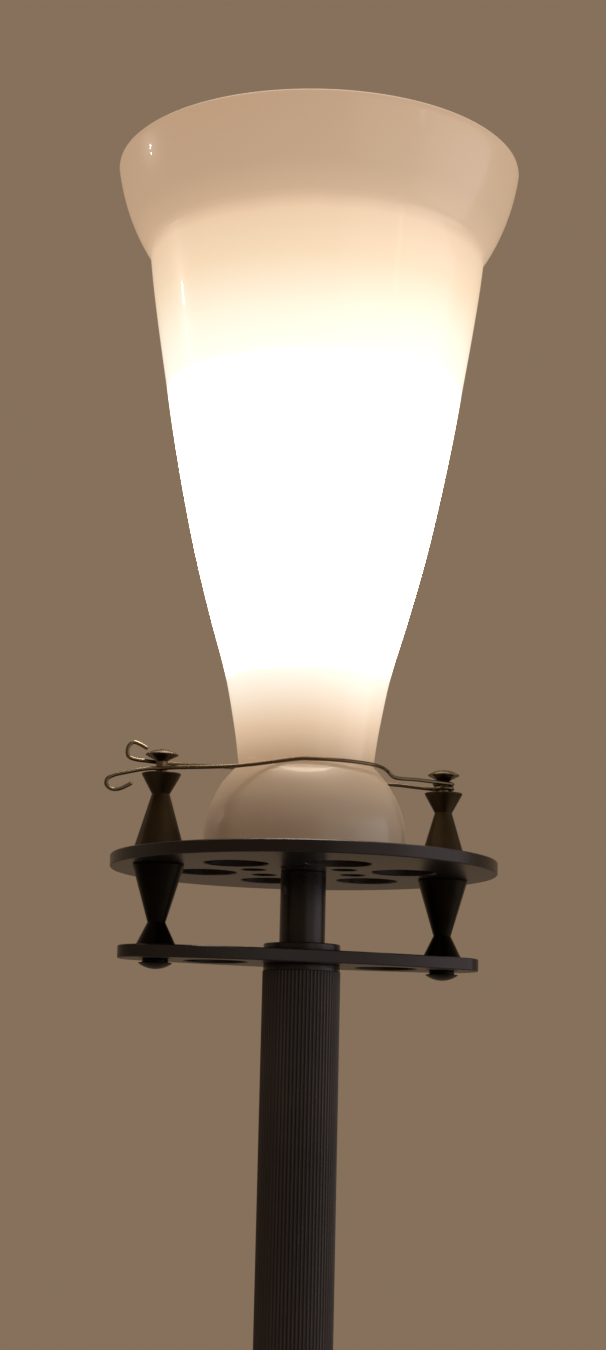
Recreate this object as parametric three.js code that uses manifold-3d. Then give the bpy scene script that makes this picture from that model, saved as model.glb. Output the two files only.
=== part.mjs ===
// Torchiere floor lamp: a fluted column on a heavy round base carries two plates held
// apart by turned posts. An opal glass shade stands on the upper plate and is held down
// by a spring wire clip that reaches round its neck from one post to the other.
//
// Units are millimetres and +Z is up. The origin is the centre of the base on the floor.
// The two posts stand on the X axis, and the clip turns on the post at +X.

import * as THREE from "three";
import { mergeVertices } from "three/addons/utils/BufferGeometryUtils.js";
import Module from "manifold-3d";

const wasm = await Module();
wasm.setup();

// ---------------------------------------------------------------- clearances
const SEAT_GAP = 0.2; // between two faces that rest on each other
const SLIP_GAP = 0.3; // all round a pin, tube or plug in its hole

// ---------------------------------------------------------------- base
const BASE_RADIUS = 150;
const BASE_THICKNESS = 26;
const BASE_CHAMFER = 2.5;
const EDGE_BREAK = 1; // small chamfer on lower edges and collars
const RECESS_RADIUS = 58;
const FOOT_COUNT = 4;
const FOOT_RADIUS = 12;
const FOOT_HEIGHT = 5.5;
const FOOT_SINK = 1.5; // how far a foot sits up inside the base
const FOOT_INSET = 22; // from the edge of the base to the middle of a foot
const BASE_COLLAR_WALL = 10.7;
const BASE_COLLAR_HEIGHT = 8;

// ---------------------------------------------------------------- lead
const LEAD_RADIUS = 2.5;
const LEAD_BEND_RADIUS = 6.5;
const LEAD_RISE = 4.5; // middle of the lead above the underside of the base
const GLAND_WALL = 1.2;
const GLAND_LENGTH = 14;
const GLAND_INSET = 1; // behind the edge of the base
const LEAD_TAIL = 5; // how far the lead comes out of the top of the tie tube

// ---------------------------------------------------------------- column
const COLUMN_RADIUS = 25;
const COLUMN_WALL = 3.5;
const COLUMN_LENGTH = 1324.5;
const FLUTE_COUNT = 64;
const FLUTE_DEPTH = 0.8;
const FLUTE_SHARE = 0.62; // part of each pitch that is cut away
const FLUTE_SLOPE = 0.25; // part of each flute that slopes, on each side of its floor
const PLUG_FLANGE = 4;
const PLUG_DEPTH = 22;
const NECK_RADIUS = 14.7;
const NECK_WALL = 2;
const COLLAR_WALL = 9.7;
const COLLAR_HEIGHT = 5;
const COLLAR_CHAMFER = 0.6;

// ---------------------------------------------------------------- tie tube
const TIE_RADIUS = 5;
const TIE_WALL = 1.5;
const NUT_WALL = 2.5; // from the tie tube to a flat of the nut
const NUT_HEIGHT = 6;
const WASHER_THICKNESS = 1.6;
const BASE_WASHER_RADIUS = 20;
const TOP_WASHER_RADIUS = 12;

// ---------------------------------------------------------------- plates
const PLATE_THICKNESS = 8;
const PLATE_GAP = 51.5; // clear height between the two plates
const PLATE_MARGIN = 27.5; // from a post to the edge of the upper plate
const LARGE_HOLE_RADIUS = 20.5;
const LARGE_HOLE_CIRCLE = 65;
const SMALL_HOLE_RADIUS = 8.25;
const SMALL_HOLE_CIRCLE = 34;
const HOLE_COUNT = 6;
const BAR_END_RADIUS = 24; // lower plate, round each post
const BAR_HALF_WIDTH = 37; // lower plate, beside the column
const BAR_HOLE_INSET = 39.5; // from a post to the middle of the large hole beside it

// ---------------------------------------------------------------- posts
const POST_CLEARANCE = 13.95; // from the gasket under the glass to the foot of a post
const STUD_RADIUS = 2.5;
const SPACER_FOOT_RADIUS = 16.25; // against the upper plate
const SPACER_WAIST_RADIUS = 5.7;
const SPACER_HEAD_RADIUS = 12.5; // at the other end
const SPACER_HEAD_LENGTH = 13.1; // from the waist to the narrow end
const SPACER_EDGE = 0.8; // narrow band where each cone ends
const CAP_RADIUS = 10.5;
const CAP_NECK_RADIUS = 3.6;
const CAP_NECK_CLEARANCE = 1.45; // from the upper turn of the coil to the top of the neck
const CAP_FLARE_RADIUS = 5;
const CAP_CONE_HEIGHT = 2.8;
const CAP_EDGE = 0.5;
const CAP_DOME = 3.4;
const CAP_BORE_DEPTH = 7;
const FOOT_WASHER_RADIUS = 8.3;
const FOOT_WASHER_THICKNESS = 2;
const FOOT_CAP_BORE_DEPTH = 2.8;

// ---------------------------------------------------------------- glass shade
const GLASS_WALL = 4;
const BELL_RADIUS = 65.8;
const BELL_STRAIGHT = 10; // upright part below the dome of the bell
const GLASS_NECK_RADIUS = 44;
const GLASS_NECK_FILLET = 2.2; // height of the soft corner between bell and neck
const NECK_FILLET_WIDTH = 0.66;
const GLASS_HEIGHT = 469;
const STEP_DROP = 60; // from the rim down to the step under the collar
const STEP_RADIUS = 113.4;
const RIM_RADIUS = 136.3;
const COLLAR_FOOT_RADIUS = 114.6; // outer edge of the step
const COLLAR_FOOT_RISE = 1.2;
const COLLAR_BULGE_INSET = 5; // from the rim to the corner that shapes the collar
const COLLAR_BULGE_SHARE = 0.44; // and its share of the way up the collar
const GASKET_THICKNESS = 1.2;
const GASKET_LIP = 1.5; // how far the gasket shows on each side of the glass

// ---------------------------------------------------------------- clip wire
const WIRE_RADIUS = 1.25;
const COIL_CLEARANCE = 1.15; // between the coil and the neck of the cap
const COIL_SWEEP = THREE.MathUtils.degToRad(300);
const COIL_LIFT = 1.85; // from the top of the spacer to the lower turn
const COIL_GAP = 0.5; // between the two turns
const CLIP_NECK_PLAY = 2.2; // between the wire and the glass neck
const CLIP_ARC_EASE = 2.55; // how much wider than the wire's rest the arc is bent
const CLIP_ARC_SHIFT_X = 3;
const CLIP_ARC_SHIFT_Y = 1.4;
const CLIP_ARC_START = THREE.MathUtils.degToRad(25); // where each leg kinks up to the glass
const CLIP_ARC_RISE = 9.6; // front leg, above the top of the spacer
const CLIP_BACK_LIFT = 4.4; // how much higher the back leg goes round the glass
const CLIP_KINK_LENGTH = 6;
const CLIP_KINK_LEAN = 0.35; // how far the kink turns in towards the X axis, for each mm along it
const CLIP_KINK_TOP = 0.25; // share of the kink's length at which it has climbed to the arc
const CLIP_KINK_FALL = 0.5; // below the arc there
const CLIP_FRONT_CLEARANCE = 1.05; // between the front leg and the neck of the left cap
const CLIP_BACK_CLEARANCE = 1.25; // between the back leg and the flare of the left cap

// ---------------------------------------------------------------- lamp inside the glass
const RISER_RADIUS = 9;
const RISER_LENGTH = 46;
const SHIELD_GAP = 3; // inside the glass neck
const SHIELD_DEPTH = 7;
const SHIELD_THICKNESS = 1.2;
const SHIELD_FLARE = 3; // how much wider the shield is at its top
const HOLDER_CAP_RADIUS = 20;
const HOLDER_CAP_HEIGHT = 20;
const HOLDER_CAP_WALL = 2.4;
const HOLDER_CAP_CHAMFER = 3;
const HOLDER_CAP_FILLET = 1;
const HOLDER_RADIUS = 21.5;
const HOLDER_HEIGHT = 38;
const HOLDER_FLOOR = 10;
const HOLDER_CHAMFER = 1.5;
const HOLDER_TAPER = 2;
const HOLDER_SHELL_DROP = 2; // below the mouth of the holder
const HOLDER_SHELL_RADIUS = 14.8;
const HOLDER_SHELL_WALL = 0.7;
const HOLDER_NUT_HEIGHT = 3;
const CONTACT_RADIUS = 4;
const CONTACT_THICKNESS = 1.2;
const TERMINAL_HOLE_RADIUS = 1.8;
const TERMINAL_HOLE_PLACE = 11;
const BULB_CAP_RADIUS = 13.2;
const BULB_CAP_WALL = 0.7;
const BULB_CAP_HEIGHT = 25;
const BULB_CAP_CHAMFER = 4;
const BULB_TIP_RADIUS = 4.5;
const BULB_TIP_HEIGHT = 2.4;
const BULB_RADIUS = 23;
const BULB_GLASS_WALL = 0.9;
const BULB_LENGTH = 128;
const BULB_NECK_LENGTH = 3; // above the cap
const BULB_FLARE_LENGTH = 12;
const BULB_SHOULDER_RISE = 24; // from the cap to the full width
const BULB_STEM_RADIUS = 4.5;
const BULB_STEM_FOOT = 2;
const BULB_STEM_FLARE = 8;
const CAPSULE_RADIUS = 6.5;
const CAPSULE_LENGTH = 46;
const CAPSULE_RISE = 22; // above the cap
const CAPSULE_SHOULDER = 4;
const CAPSULE_POINT = 6;
const TIE_END = 2; // how far the tie tube stands out of the holder nut

// ---------------------------------------------------------------- widths and places, worked out
const GROOVE_WIDTH = 2 * (LEAD_RADIUS + SLIP_GAP + GLAND_WALL + SLIP_GAP);
const BASE_COLLAR_RADIUS = COLUMN_RADIUS + SLIP_GAP + BASE_COLLAR_WALL;
const COLLAR_RADIUS = NECK_RADIUS + SLIP_GAP + COLLAR_WALL;
const TIE_BORE_RADIUS = TIE_RADIUS - TIE_WALL;
const TIE_HOLE_RADIUS = TIE_RADIUS + SLIP_GAP;
const NUT_ACROSS_FLATS = 2 * (TIE_RADIUS + NUT_WALL);
const POST_PLACE = BELL_RADIUS + GASKET_LIP + POST_CLEARANCE + SPACER_FOOT_RADIUS;
const UPPER_PLATE_RADIUS = POST_PLACE + PLATE_MARGIN;
const BAR_HOLE_PLACE = POST_PLACE - BAR_HOLE_INSET;
const COIL_RADIUS = CAP_NECK_RADIUS + COIL_CLEARANCE + WIRE_RADIUS; // to the middle of the wire
const CLIP_REST_RADIUS = GLASS_NECK_RADIUS + CLIP_NECK_PLAY + WIRE_RADIUS;
const CLIP_ARC_RADIUS = CLIP_REST_RADIUS + CLIP_ARC_EASE;
const CLIP_FRONT_PASS = CAP_NECK_RADIUS + CLIP_FRONT_CLEARANCE + WIRE_RADIUS;
const CLIP_BACK_PASS = CAP_FLARE_RADIUS + CLIP_BACK_CLEARANCE + WIRE_RADIUS;
const SHIELD_RADIUS = GLASS_NECK_RADIUS - GLASS_WALL - SHIELD_GAP;

// ---------------------------------------------------------------- heights, worked out
const BASE_BOTTOM = FOOT_HEIGHT - FOOT_SINK;
const BASE_TOP = BASE_BOTTOM + BASE_THICKNESS;
const LEAD_HEIGHT = BASE_BOTTOM + LEAD_RISE;
const TIE_BOTTOM = LEAD_HEIGHT + LEAD_BEND_RADIUS;
const BASE_NUT_BOTTOM = TIE_BOTTOM;
const RECESS_TOP = BASE_NUT_BOTTOM + NUT_HEIGHT + WASHER_THICKNESS + 2 * SEAT_GAP;
const COLUMN_BOTTOM = BASE_TOP + SEAT_GAP + PLUG_FLANGE;
const COLUMN_TOP = COLUMN_BOTTOM + COLUMN_LENGTH;
const LOWER_PLATE_BOTTOM = COLUMN_TOP + PLUG_FLANGE + SEAT_GAP;
const LOWER_PLATE_TOP = LOWER_PLATE_BOTTOM + PLATE_THICKNESS;
const UPPER_PLATE_BOTTOM = LOWER_PLATE_TOP + PLATE_GAP;
const UPPER_PLATE_TOP = UPPER_PLATE_BOTTOM + PLATE_THICKNESS;
const GLASS_BOTTOM = UPPER_PLATE_TOP + 2 * SEAT_GAP + GASKET_THICKNESS;

// The wire rests on the dome of the bell, and the posts are as long as that needs.
const CLIP_REST_REACH = BELL_RADIUS + SLIP_GAP + WIRE_RADIUS;
const CLIP_REST_HEIGHT = BELL_STRAIGHT + Math.sqrt(CLIP_REST_REACH ** 2 - CLIP_REST_RADIUS ** 2);
const SPACER_TOP = GLASS_BOTTOM + CLIP_REST_HEIGHT - CLIP_ARC_RISE;
const UPPER_SPACER_LENGTH = SPACER_TOP - UPPER_PLATE_TOP - SEAT_GAP;
const LOWER_SPACER_LENGTH = PLATE_GAP - 2 * SEAT_GAP;
const LOWER_COIL_RISE = COIL_LIFT + WIRE_RADIUS; // from the top of the spacer to the lower turn
const UPPER_COIL_RISE = LOWER_COIL_RISE + 2 * WIRE_RADIUS + COIL_GAP;
const CAP_NECK_LENGTH = UPPER_COIL_RISE + WIRE_RADIUS + CAP_NECK_CLEARANCE;
const FOOT_CAP_TOP = LOWER_PLATE_BOTTOM - 2 * SEAT_GAP - FOOT_WASHER_THICKNESS;

const TOP_NUT_TOP = UPPER_PLATE_TOP + 2 * SEAT_GAP + WASHER_THICKNESS + NUT_HEIGHT;
const SHIELD_BOTTOM = TOP_NUT_TOP + 2 * SEAT_GAP + RISER_LENGTH;
const HOLDER_CAP_BOTTOM = SHIELD_BOTTOM + SHIELD_THICKNESS + SEAT_GAP;
const HOLDER_NUT_BOTTOM = HOLDER_CAP_BOTTOM + HOLDER_CAP_WALL + SEAT_GAP;
const TIE_TOP = HOLDER_NUT_BOTTOM + HOLDER_NUT_HEIGHT + TIE_END;
const HOLDER_BOTTOM = HOLDER_CAP_BOTTOM + HOLDER_CAP_HEIGHT + SEAT_GAP;
const HOLDER_TOP = HOLDER_BOTTOM + HOLDER_HEIGHT;
const HOLDER_FLOOR_TOP = HOLDER_BOTTOM + HOLDER_FLOOR;
const CONTACT_BOTTOM = HOLDER_FLOOR_TOP + SEAT_GAP;
const BULB_TIP_BOTTOM = CONTACT_BOTTOM + CONTACT_THICKNESS + SEAT_GAP;
const BULB_CAP_BOTTOM = BULB_TIP_BOTTOM + BULB_TIP_HEIGHT + SEAT_GAP;
const BULB_CAP_TOP = BULB_CAP_BOTTOM + BULB_CAP_HEIGHT;
const BULB_NECK_BOTTOM = BULB_CAP_BOTTOM + BULB_CAP_HEIGHT / 2;

const FULL_TURN = Math.PI * 2;

// ---------------------------------------------------------------- finishes
function finish(color, roughness, metalness) {
  return new THREE.MeshStandardMaterial({ color, roughness, metalness });
}

const finishes = {
  graphite: finish(0x332c2b, 0.42, 0.6),
  bronze: finish(0x1d1917, 0.38, 0.8),
  polished: finish(0xb9a68c, 0.22, 1),
  steel: finish(0x9a9a98, 0.35, 1),
  aluminium: finish(0xc9c9c6, 0.4, 1),
  brass: finish(0xb8924a, 0.3, 1),
  rubber: finish(0x1b1b1b, 0.9, 0),
  opal: finish(0xfff1dc, 0.12, 0),
  porcelain: finish(0xf1efe8, 0.25, 0),
  clear: finish(0xe9eef0, 0.05, 0),
  lead: finish(0x2a2a2a, 0.7, 0),
};

// ---------------------------------------------------------------- geometry helpers

// Shared corners become one vertex, and triangles that shrink to a line go away.
function weld(geometry) {
  const bare = new THREE.BufferGeometry();
  bare.setAttribute("position", geometry.getAttribute("position").clone());
  if (geometry.index) {
    bare.setIndex(geometry.index.clone());
  }
  const merged = mergeVertices(bare, 1e-3);
  const source = merged.index.array;
  const kept = [];
  for (let i = 0; i < source.length; i += 3) {
    const [a, b, c] = [source[i], source[i + 1], source[i + 2]];
    if (a !== b && b !== c && c !== a) {
      kept.push(a, b, c);
    }
  }
  merged.setIndex(kept);
  return merged;
}

function toSolid(geometry) {
  const welded = weld(geometry);
  return new wasm.Manifold(new wasm.Mesh({
    numProp: 3,
    vertProperties: Float32Array.from(welded.getAttribute("position").array),
    triVerts: Uint32Array.from(welded.index.array),
  }));
}

function toGeometry(solid) {
  const mesh = solid.getMesh();
  const geometry = new THREE.BufferGeometry();
  geometry.setAttribute("position", new THREE.BufferAttribute(Float32Array.from(mesh.vertProperties), 3));
  geometry.setIndex(new THREE.BufferAttribute(Uint32Array.from(mesh.triVerts), 1));
  return geometry;
}

function cut(geometry, ...tools) {
  let solid = toSolid(geometry);
  for (const tool of tools) {
    solid = solid.subtract(toSolid(tool));
  }
  return toGeometry(solid);
}

// A turned piece. Its outline of [radius, height] pairs runs up the outside.
function turned(outline, segments = 32) {
  const points = outline.map(([radius, height]) => new THREE.Vector2(radius, height));
  const geometry = new THREE.LatheGeometry(points, segments);
  geometry.rotateX(Math.PI / 2);
  return weld(geometry);
}

// A plain ring or tube, closed all round its section.
function ring(innerRadius, outerRadius, bottom, top, segments = 24) {
  return turned([
    [innerRadius, bottom],
    [outerRadius, bottom],
    [outerRadius, top],
    [innerRadius, top],
    [innerRadius, bottom],
  ], segments);
}

// A ring whose outer edges are chamfered.
function chamferedRing(innerRadius, outerRadius, bottom, top, chamfer, segments = 28) {
  return turned([
    [innerRadius, bottom],
    [outerRadius - chamfer, bottom],
    [outerRadius, bottom + chamfer],
    [outerRadius, top - chamfer],
    [outerRadius - chamfer, top],
    [innerRadius, top],
    [innerRadius, bottom],
  ], segments);
}

function rod(radius, bottom, top, segments = 20) {
  return turned([[0, bottom], [radius, bottom], [radius, top], [0, top]], segments);
}

function hexNut(acrossFlats, boreRadius, bottom, height) {
  const shape = drawRound(new THREE.Shape(), 0, 0, acrossFlats / Math.sqrt(3), 6);
  shape.holes.push(roundHole(0, 0, boreRadius, 20));
  return extruded(shape, bottom, height);
}

// Draws a regular outline of the given number of sides on a shape or a path.
function drawRound(path, x, y, radius, sides) {
  for (let i = 0; i < sides; i += 1) {
    const angle = (i / sides) * FULL_TURN;
    const point = [x + radius * Math.cos(angle), y + radius * Math.sin(angle)];
    if (i === 0) {
      path.moveTo(...point);
    } else {
      path.lineTo(...point);
    }
  }
  path.closePath();
  return path;
}

function roundHole(x, y, radius, sides) {
  return drawRound(new THREE.Path(), x, y, radius, sides);
}

function extruded(shape, bottom, height, curveSegments = 12) {
  const geometry = new THREE.ExtrudeGeometry(shape, { depth: height, bevelEnabled: false, curveSegments });
  geometry.translate(0, 0, bottom);
  return weld(geometry);
}

// A round wire or lead along a curve.
function sweep(curve, radius, sides, steps) {
  const section = drawRound(new THREE.Shape(), 0, 0, radius, sides);
  return weld(new THREE.ExtrudeGeometry(section, { steps, bevelEnabled: false, extrudePath: curve }));
}

function at(geometry, x, y) {
  return geometry.clone().translate(x, y, 0);
}

// ---------------------------------------------------------------- assembly
const lamp = new THREE.Group();
lamp.name = "torchiere_lamp";

function add(name, geometry, material) {
  const mesh = new THREE.Mesh(geometry, material);
  mesh.name = name;
  lamp.add(mesh);
}

// ---------------------------------------------------------------- base
function footPlaces() {
  const places = [];
  const circle = BASE_RADIUS - FOOT_INSET;
  for (let i = 0; i < FOOT_COUNT; i += 1) {
    const angle = ((i + 0.5) / FOOT_COUNT) * FULL_TURN;
    places.push([circle * Math.cos(angle), circle * Math.sin(angle)]);
  }
  return places;
}

function baseDisc() {
  const disc = turned([
    [TIE_HOLE_RADIUS, RECESS_TOP],
    [RECESS_RADIUS, RECESS_TOP],
    [RECESS_RADIUS, BASE_BOTTOM],
    [BASE_RADIUS - EDGE_BREAK, BASE_BOTTOM],
    [BASE_RADIUS, BASE_BOTTOM + EDGE_BREAK],
    [BASE_RADIUS, BASE_TOP - BASE_CHAMFER],
    [BASE_RADIUS - BASE_CHAMFER, BASE_TOP],
    [TIE_HOLE_RADIUS, BASE_TOP],
    [TIE_HOLE_RADIUS, RECESS_TOP],
  ], 48);
  const grooveTop = LEAD_HEIGHT + GROOVE_WIDTH / 2;
  const groove = new THREE.BoxGeometry(GROOVE_WIDTH, BASE_RADIUS, grooveTop);
  groove.translate(0, RECESS_RADIUS / 2 + BASE_RADIUS / 2, grooveTop / 2);
  const pockets = footPlaces().map(([x, y]) => (
    at(rod(FOOT_RADIUS + SLIP_GAP, 0, FOOT_HEIGHT + SEAT_GAP, 24), x, y)
  ));
  return cut(disc, groove, ...pockets);
}

function foot() {
  return turned([
    [0, 0],
    [FOOT_RADIUS - EDGE_BREAK, 0],
    [FOOT_RADIUS, EDGE_BREAK],
    [FOOT_RADIUS, FOOT_HEIGHT],
    [0, FOOT_HEIGHT],
  ], 24);
}

// The bush fills the groove at the edge of the base, and the lead comes out through it.
function cableGland() {
  const width = GROOVE_WIDTH - 2 * SLIP_GAP;
  const top = LEAD_HEIGHT + GROOVE_WIDTH / 2 - SLIP_GAP;
  const bottom = BASE_BOTTOM + SLIP_GAP;
  const outer = BASE_RADIUS - GLAND_INSET;
  const body = new THREE.BoxGeometry(width, GLAND_LENGTH, top - bottom);
  body.translate(0, outer - GLAND_LENGTH / 2, (top + bottom) / 2);
  const holeRadius = LEAD_RADIUS + SLIP_GAP;
  const hole = new THREE.CylinderGeometry(holeRadius, holeRadius, 2 * GLAND_LENGTH, 16);
  hole.translate(0, outer - GLAND_LENGTH / 2, LEAD_HEIGHT);
  return cut(body, hole);
}

// The lead turns down out of the tie tube and runs along the groove to the gland.
function leadTail() {
  const path = new THREE.CurvePath();
  const bendEnd = new THREE.Vector3(0, LEAD_BEND_RADIUS, LEAD_HEIGHT);
  const bendStart = new THREE.Vector3(0, 0, TIE_BOTTOM - SEAT_GAP);
  const corner = new THREE.Vector3(0, 0, LEAD_HEIGHT);
  path.add(new THREE.QuadraticBezierCurve3(bendStart, corner, bendEnd));
  path.add(new THREE.LineCurve3(bendEnd, new THREE.Vector3(0, BASE_RADIUS - GLAND_INSET, LEAD_HEIGHT)));
  return sweep(path, LEAD_RADIUS, 8, 18);
}

// ---------------------------------------------------------------- column
function columnTube() {
  const shape = new THREE.Shape();
  const pitch = FULL_TURN / FLUTE_COUNT;
  const flat = pitch * (1 - FLUTE_SHARE);
  const slope = (pitch - flat) * FLUTE_SLOPE;
  const corners = [
    [0, 0],
    [flat, 0],
    [flat + slope, FLUTE_DEPTH],
    [pitch - slope, FLUTE_DEPTH],
  ];
  for (let i = 0; i < FLUTE_COUNT; i += 1) {
    for (const [turn, depth] of corners) {
      const angle = i * pitch + turn;
      const radius = COLUMN_RADIUS - depth;
      const point = [radius * Math.cos(angle), radius * Math.sin(angle)];
      if (i === 0 && turn === 0) {
        shape.moveTo(...point);
      } else {
        shape.lineTo(...point);
      }
    }
  }
  shape.closePath();
  shape.holes.push(roundHole(0, 0, COLUMN_RADIUS - COLUMN_WALL, 40));
  return extruded(shape, COLUMN_BOTTOM + SEAT_GAP, COLUMN_LENGTH - 2 * SEAT_GAP);
}

// A turned plug closes each end of the column; its flange is as wide as the column.
function columnPlug(flangeFace, direction) {
  const bore = TIE_HOLE_RADIUS;
  const inside = COLUMN_RADIUS - COLUMN_WALL - SLIP_GAP;
  const flangeRadius = COLUMN_RADIUS - FLUTE_DEPTH / 2;
  const flangeEnd = flangeFace + direction * PLUG_FLANGE;
  const end = flangeEnd + direction * PLUG_DEPTH;
  const outline = [
    [bore, flangeFace],
    [flangeRadius, flangeFace],
    [flangeRadius, flangeEnd],
    [inside, flangeEnd],
    [inside, end],
    [bore, end],
    [bore, flangeFace],
  ];
  if (direction < 0) {
    outline.reverse();
  }
  return turned(outline, 28);
}

// ---------------------------------------------------------------- plates
function upperPlate() {
  const shape = drawRound(new THREE.Shape(), 0, 0, UPPER_PLATE_RADIUS, 72);
  shape.holes.push(roundHole(0, 0, TIE_HOLE_RADIUS, 20));
  const addHole = (turn, circle, radius, sides) => {
    const angle = turn * FULL_TURN;
    shape.holes.push(roundHole(circle * Math.cos(angle), circle * Math.sin(angle), radius, sides));
  };
  for (let i = 0; i < HOLE_COUNT; i += 1) {
    addHole((i + 0.5) / HOLE_COUNT, LARGE_HOLE_CIRCLE, LARGE_HOLE_RADIUS, 24);
    addHole(i / HOLE_COUNT, SMALL_HOLE_CIRCLE, SMALL_HOLE_RADIUS, 16);
  }
  for (const turn of [0, 0.5]) {
    addHole(turn, POST_PLACE, STUD_RADIUS + SLIP_GAP, 12);
  }
  return extruded(shape, UPPER_PLATE_BOTTOM, PLATE_THICKNESS);
}

// The bar is a lens: two large arcs that run smoothly into a round end at each post.
function lowerPlate() {
  const rise = BAR_HALF_WIDTH - BAR_END_RADIUS;
  const offset = (POST_PLACE ** 2 - rise ** 2) / (2 * rise);
  const sideRadius = offset + BAR_HALF_WIDTH;
  const lean = Math.atan2(POST_PLACE, offset);
  const shape = new THREE.Shape();
  const up = Math.PI / 2;
  shape.absarc(POST_PLACE, 0, BAR_END_RADIUS, -(up - lean), up - lean, false);
  shape.absarc(0, -offset, sideRadius, up - lean, up + lean, false);
  shape.absarc(-POST_PLACE, 0, BAR_END_RADIUS, up + lean, 3 * up - lean, false);
  shape.absarc(0, offset, sideRadius, 3 * up - lean, 3 * up + lean, false);
  shape.closePath();
  shape.holes.push(roundHole(0, 0, TIE_HOLE_RADIUS, 20));
  for (const side of [-1, 1]) {
    shape.holes.push(roundHole(side * POST_PLACE, 0, STUD_RADIUS + SLIP_GAP, 12));
    shape.holes.push(roundHole(side * BAR_HOLE_PLACE, 0, LARGE_HOLE_RADIUS, 24));
  }
  return extruded(shape, LOWER_PLATE_BOTTOM, PLATE_THICKNESS, 8);
}

// ---------------------------------------------------------------- posts

// Two cones that meet at a narrow waist. The wide foot stands on the upper plate.
function spacer(footFace, direction, length) {
  const bore = STUD_RADIUS + SLIP_GAP;
  const head = footFace + direction * length;
  const waist = head - direction * SPACER_HEAD_LENGTH;
  const outline = [
    [bore, footFace],
    [SPACER_FOOT_RADIUS, footFace],
    [SPACER_FOOT_RADIUS, footFace + direction * SPACER_EDGE],
    [SPACER_WAIST_RADIUS, waist],
    [SPACER_HEAD_RADIUS, head - direction * SPACER_EDGE],
    [SPACER_HEAD_RADIUS, head],
    [bore, head],
    [bore, footFace],
  ];
  if (direction < 0) {
    outline.reverse();
  }
  return turned(outline, 24);
}

function domeOutline(radius, height, base, direction, count) {
  const points = [];
  const sphere = (radius ** 2 + height ** 2) / (2 * height);
  for (let i = 0; i <= count; i += 1) {
    const r = radius * (1 - i / count);
    const fall = sphere - Math.sqrt(sphere ** 2 - r ** 2);
    points.push([r, base + direction * (height - fall)]);
  }
  return points;
}

// The mushroom cap screws down on the stud, and the clip wire lies round its neck.
function topCap() {
  const bottom = SPACER_TOP + SEAT_GAP;
  const neckTop = bottom + CAP_NECK_LENGTH;
  const coneTop = neckTop + CAP_CONE_HEIGHT;
  const bore = STUD_RADIUS + SLIP_GAP / 2;
  return turned([
    [0, bottom + CAP_BORE_DEPTH],
    [bore, bottom + CAP_BORE_DEPTH],
    [bore, bottom],
    [CAP_NECK_RADIUS, bottom],
    [CAP_NECK_RADIUS, neckTop - (CAP_FLARE_RADIUS - CAP_NECK_RADIUS)],
    [CAP_FLARE_RADIUS, neckTop],
    [CAP_RADIUS, coneTop],
    ...domeOutline(CAP_RADIUS, CAP_DOME, coneTop + CAP_EDGE, 1, 3),
  ], 24);
}

function bottomCap() {
  const bore = STUD_RADIUS + SLIP_GAP / 2;
  return turned([
    ...domeOutline(CAP_RADIUS, CAP_DOME, FOOT_CAP_TOP - CAP_EDGE, -1, 3).reverse(),
    [CAP_RADIUS, FOOT_CAP_TOP],
    [bore, FOOT_CAP_TOP],
    [bore, FOOT_CAP_TOP - FOOT_CAP_BORE_DEPTH],
    [0, FOOT_CAP_TOP - FOOT_CAP_BORE_DEPTH],
  ], 24);
}

function stud() {
  const bottom = FOOT_CAP_TOP - FOOT_CAP_BORE_DEPTH + SLIP_GAP;
  const top = SPACER_TOP + SEAT_GAP + CAP_BORE_DEPTH - SLIP_GAP;
  return rod(STUD_RADIUS, bottom, top, 16);
}

function footWasher() {
  const top = LOWER_PLATE_BOTTOM - SEAT_GAP;
  return ring(STUD_RADIUS + SLIP_GAP, FOOT_WASHER_RADIUS, top - FOOT_WASHER_THICKNESS, top, 24);
}

// ---------------------------------------------------------------- glass shade

// Outside of the glass as [radius, height above its foot], from the foot to the rim.
function glassOutside() {
  const points = [[BELL_RADIUS, 0]];
  const neckAngle = Math.acos((GLASS_NECK_RADIUS + NECK_FILLET_WIDTH) / BELL_RADIUS);
  const domeSteps = 6;
  for (let i = 0; i <= domeSteps; i += 1) {
    const angle = (neckAngle * i) / domeSteps;
    points.push([BELL_RADIUS * Math.cos(angle), BELL_STRAIGHT + BELL_RADIUS * Math.sin(angle)]);
  }
  const neckFoot = BELL_STRAIGHT + BELL_RADIUS * Math.sin(neckAngle) + GLASS_NECK_FILLET;
  const stepHeight = GLASS_HEIGHT - STEP_DROP;
  const rise = stepHeight - neckFoot;
  const grow = STEP_RADIUS - GLASS_NECK_RADIUS;
  // Share of the way up the body against share of the way out, a slow S.
  const body = [[0, 0], [0.07, 0.05], [0.175, 0.155], [0.28, 0.305], [0.42, 0.49], [0.595, 0.675],
    [0.77, 0.83], [0.91, 0.942], [1, 1]];
  const curve = new THREE.SplineCurve(body.map(([up, out]) => (
    new THREE.Vector2(GLASS_NECK_RADIUS + grow * out, neckFoot + rise * up)
  )));
  const bodySteps = 11;
  for (const point of curve.getPoints(bodySteps)) {
    points.push([point.x, point.y]);
  }
  // The collar starts at the step and swells outward to the rim.
  const start = new THREE.Vector2(COLLAR_FOOT_RADIUS, stepHeight + COLLAR_FOOT_RISE);
  const bulge = new THREE.Vector2(
    RIM_RADIUS - COLLAR_BULGE_INSET,
    stepHeight + STEP_DROP * COLLAR_BULGE_SHARE,
  );
  const end = new THREE.Vector2(RIM_RADIUS, GLASS_HEIGHT - GLASS_WALL / 2);
  const collar = new THREE.QuadraticBezierCurve(start, bulge, end);
  const collarSteps = 4;
  for (const point of collar.getPoints(collarSteps)) {
    points.push([point.x, point.y]);
  }
  return points;
}

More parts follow.
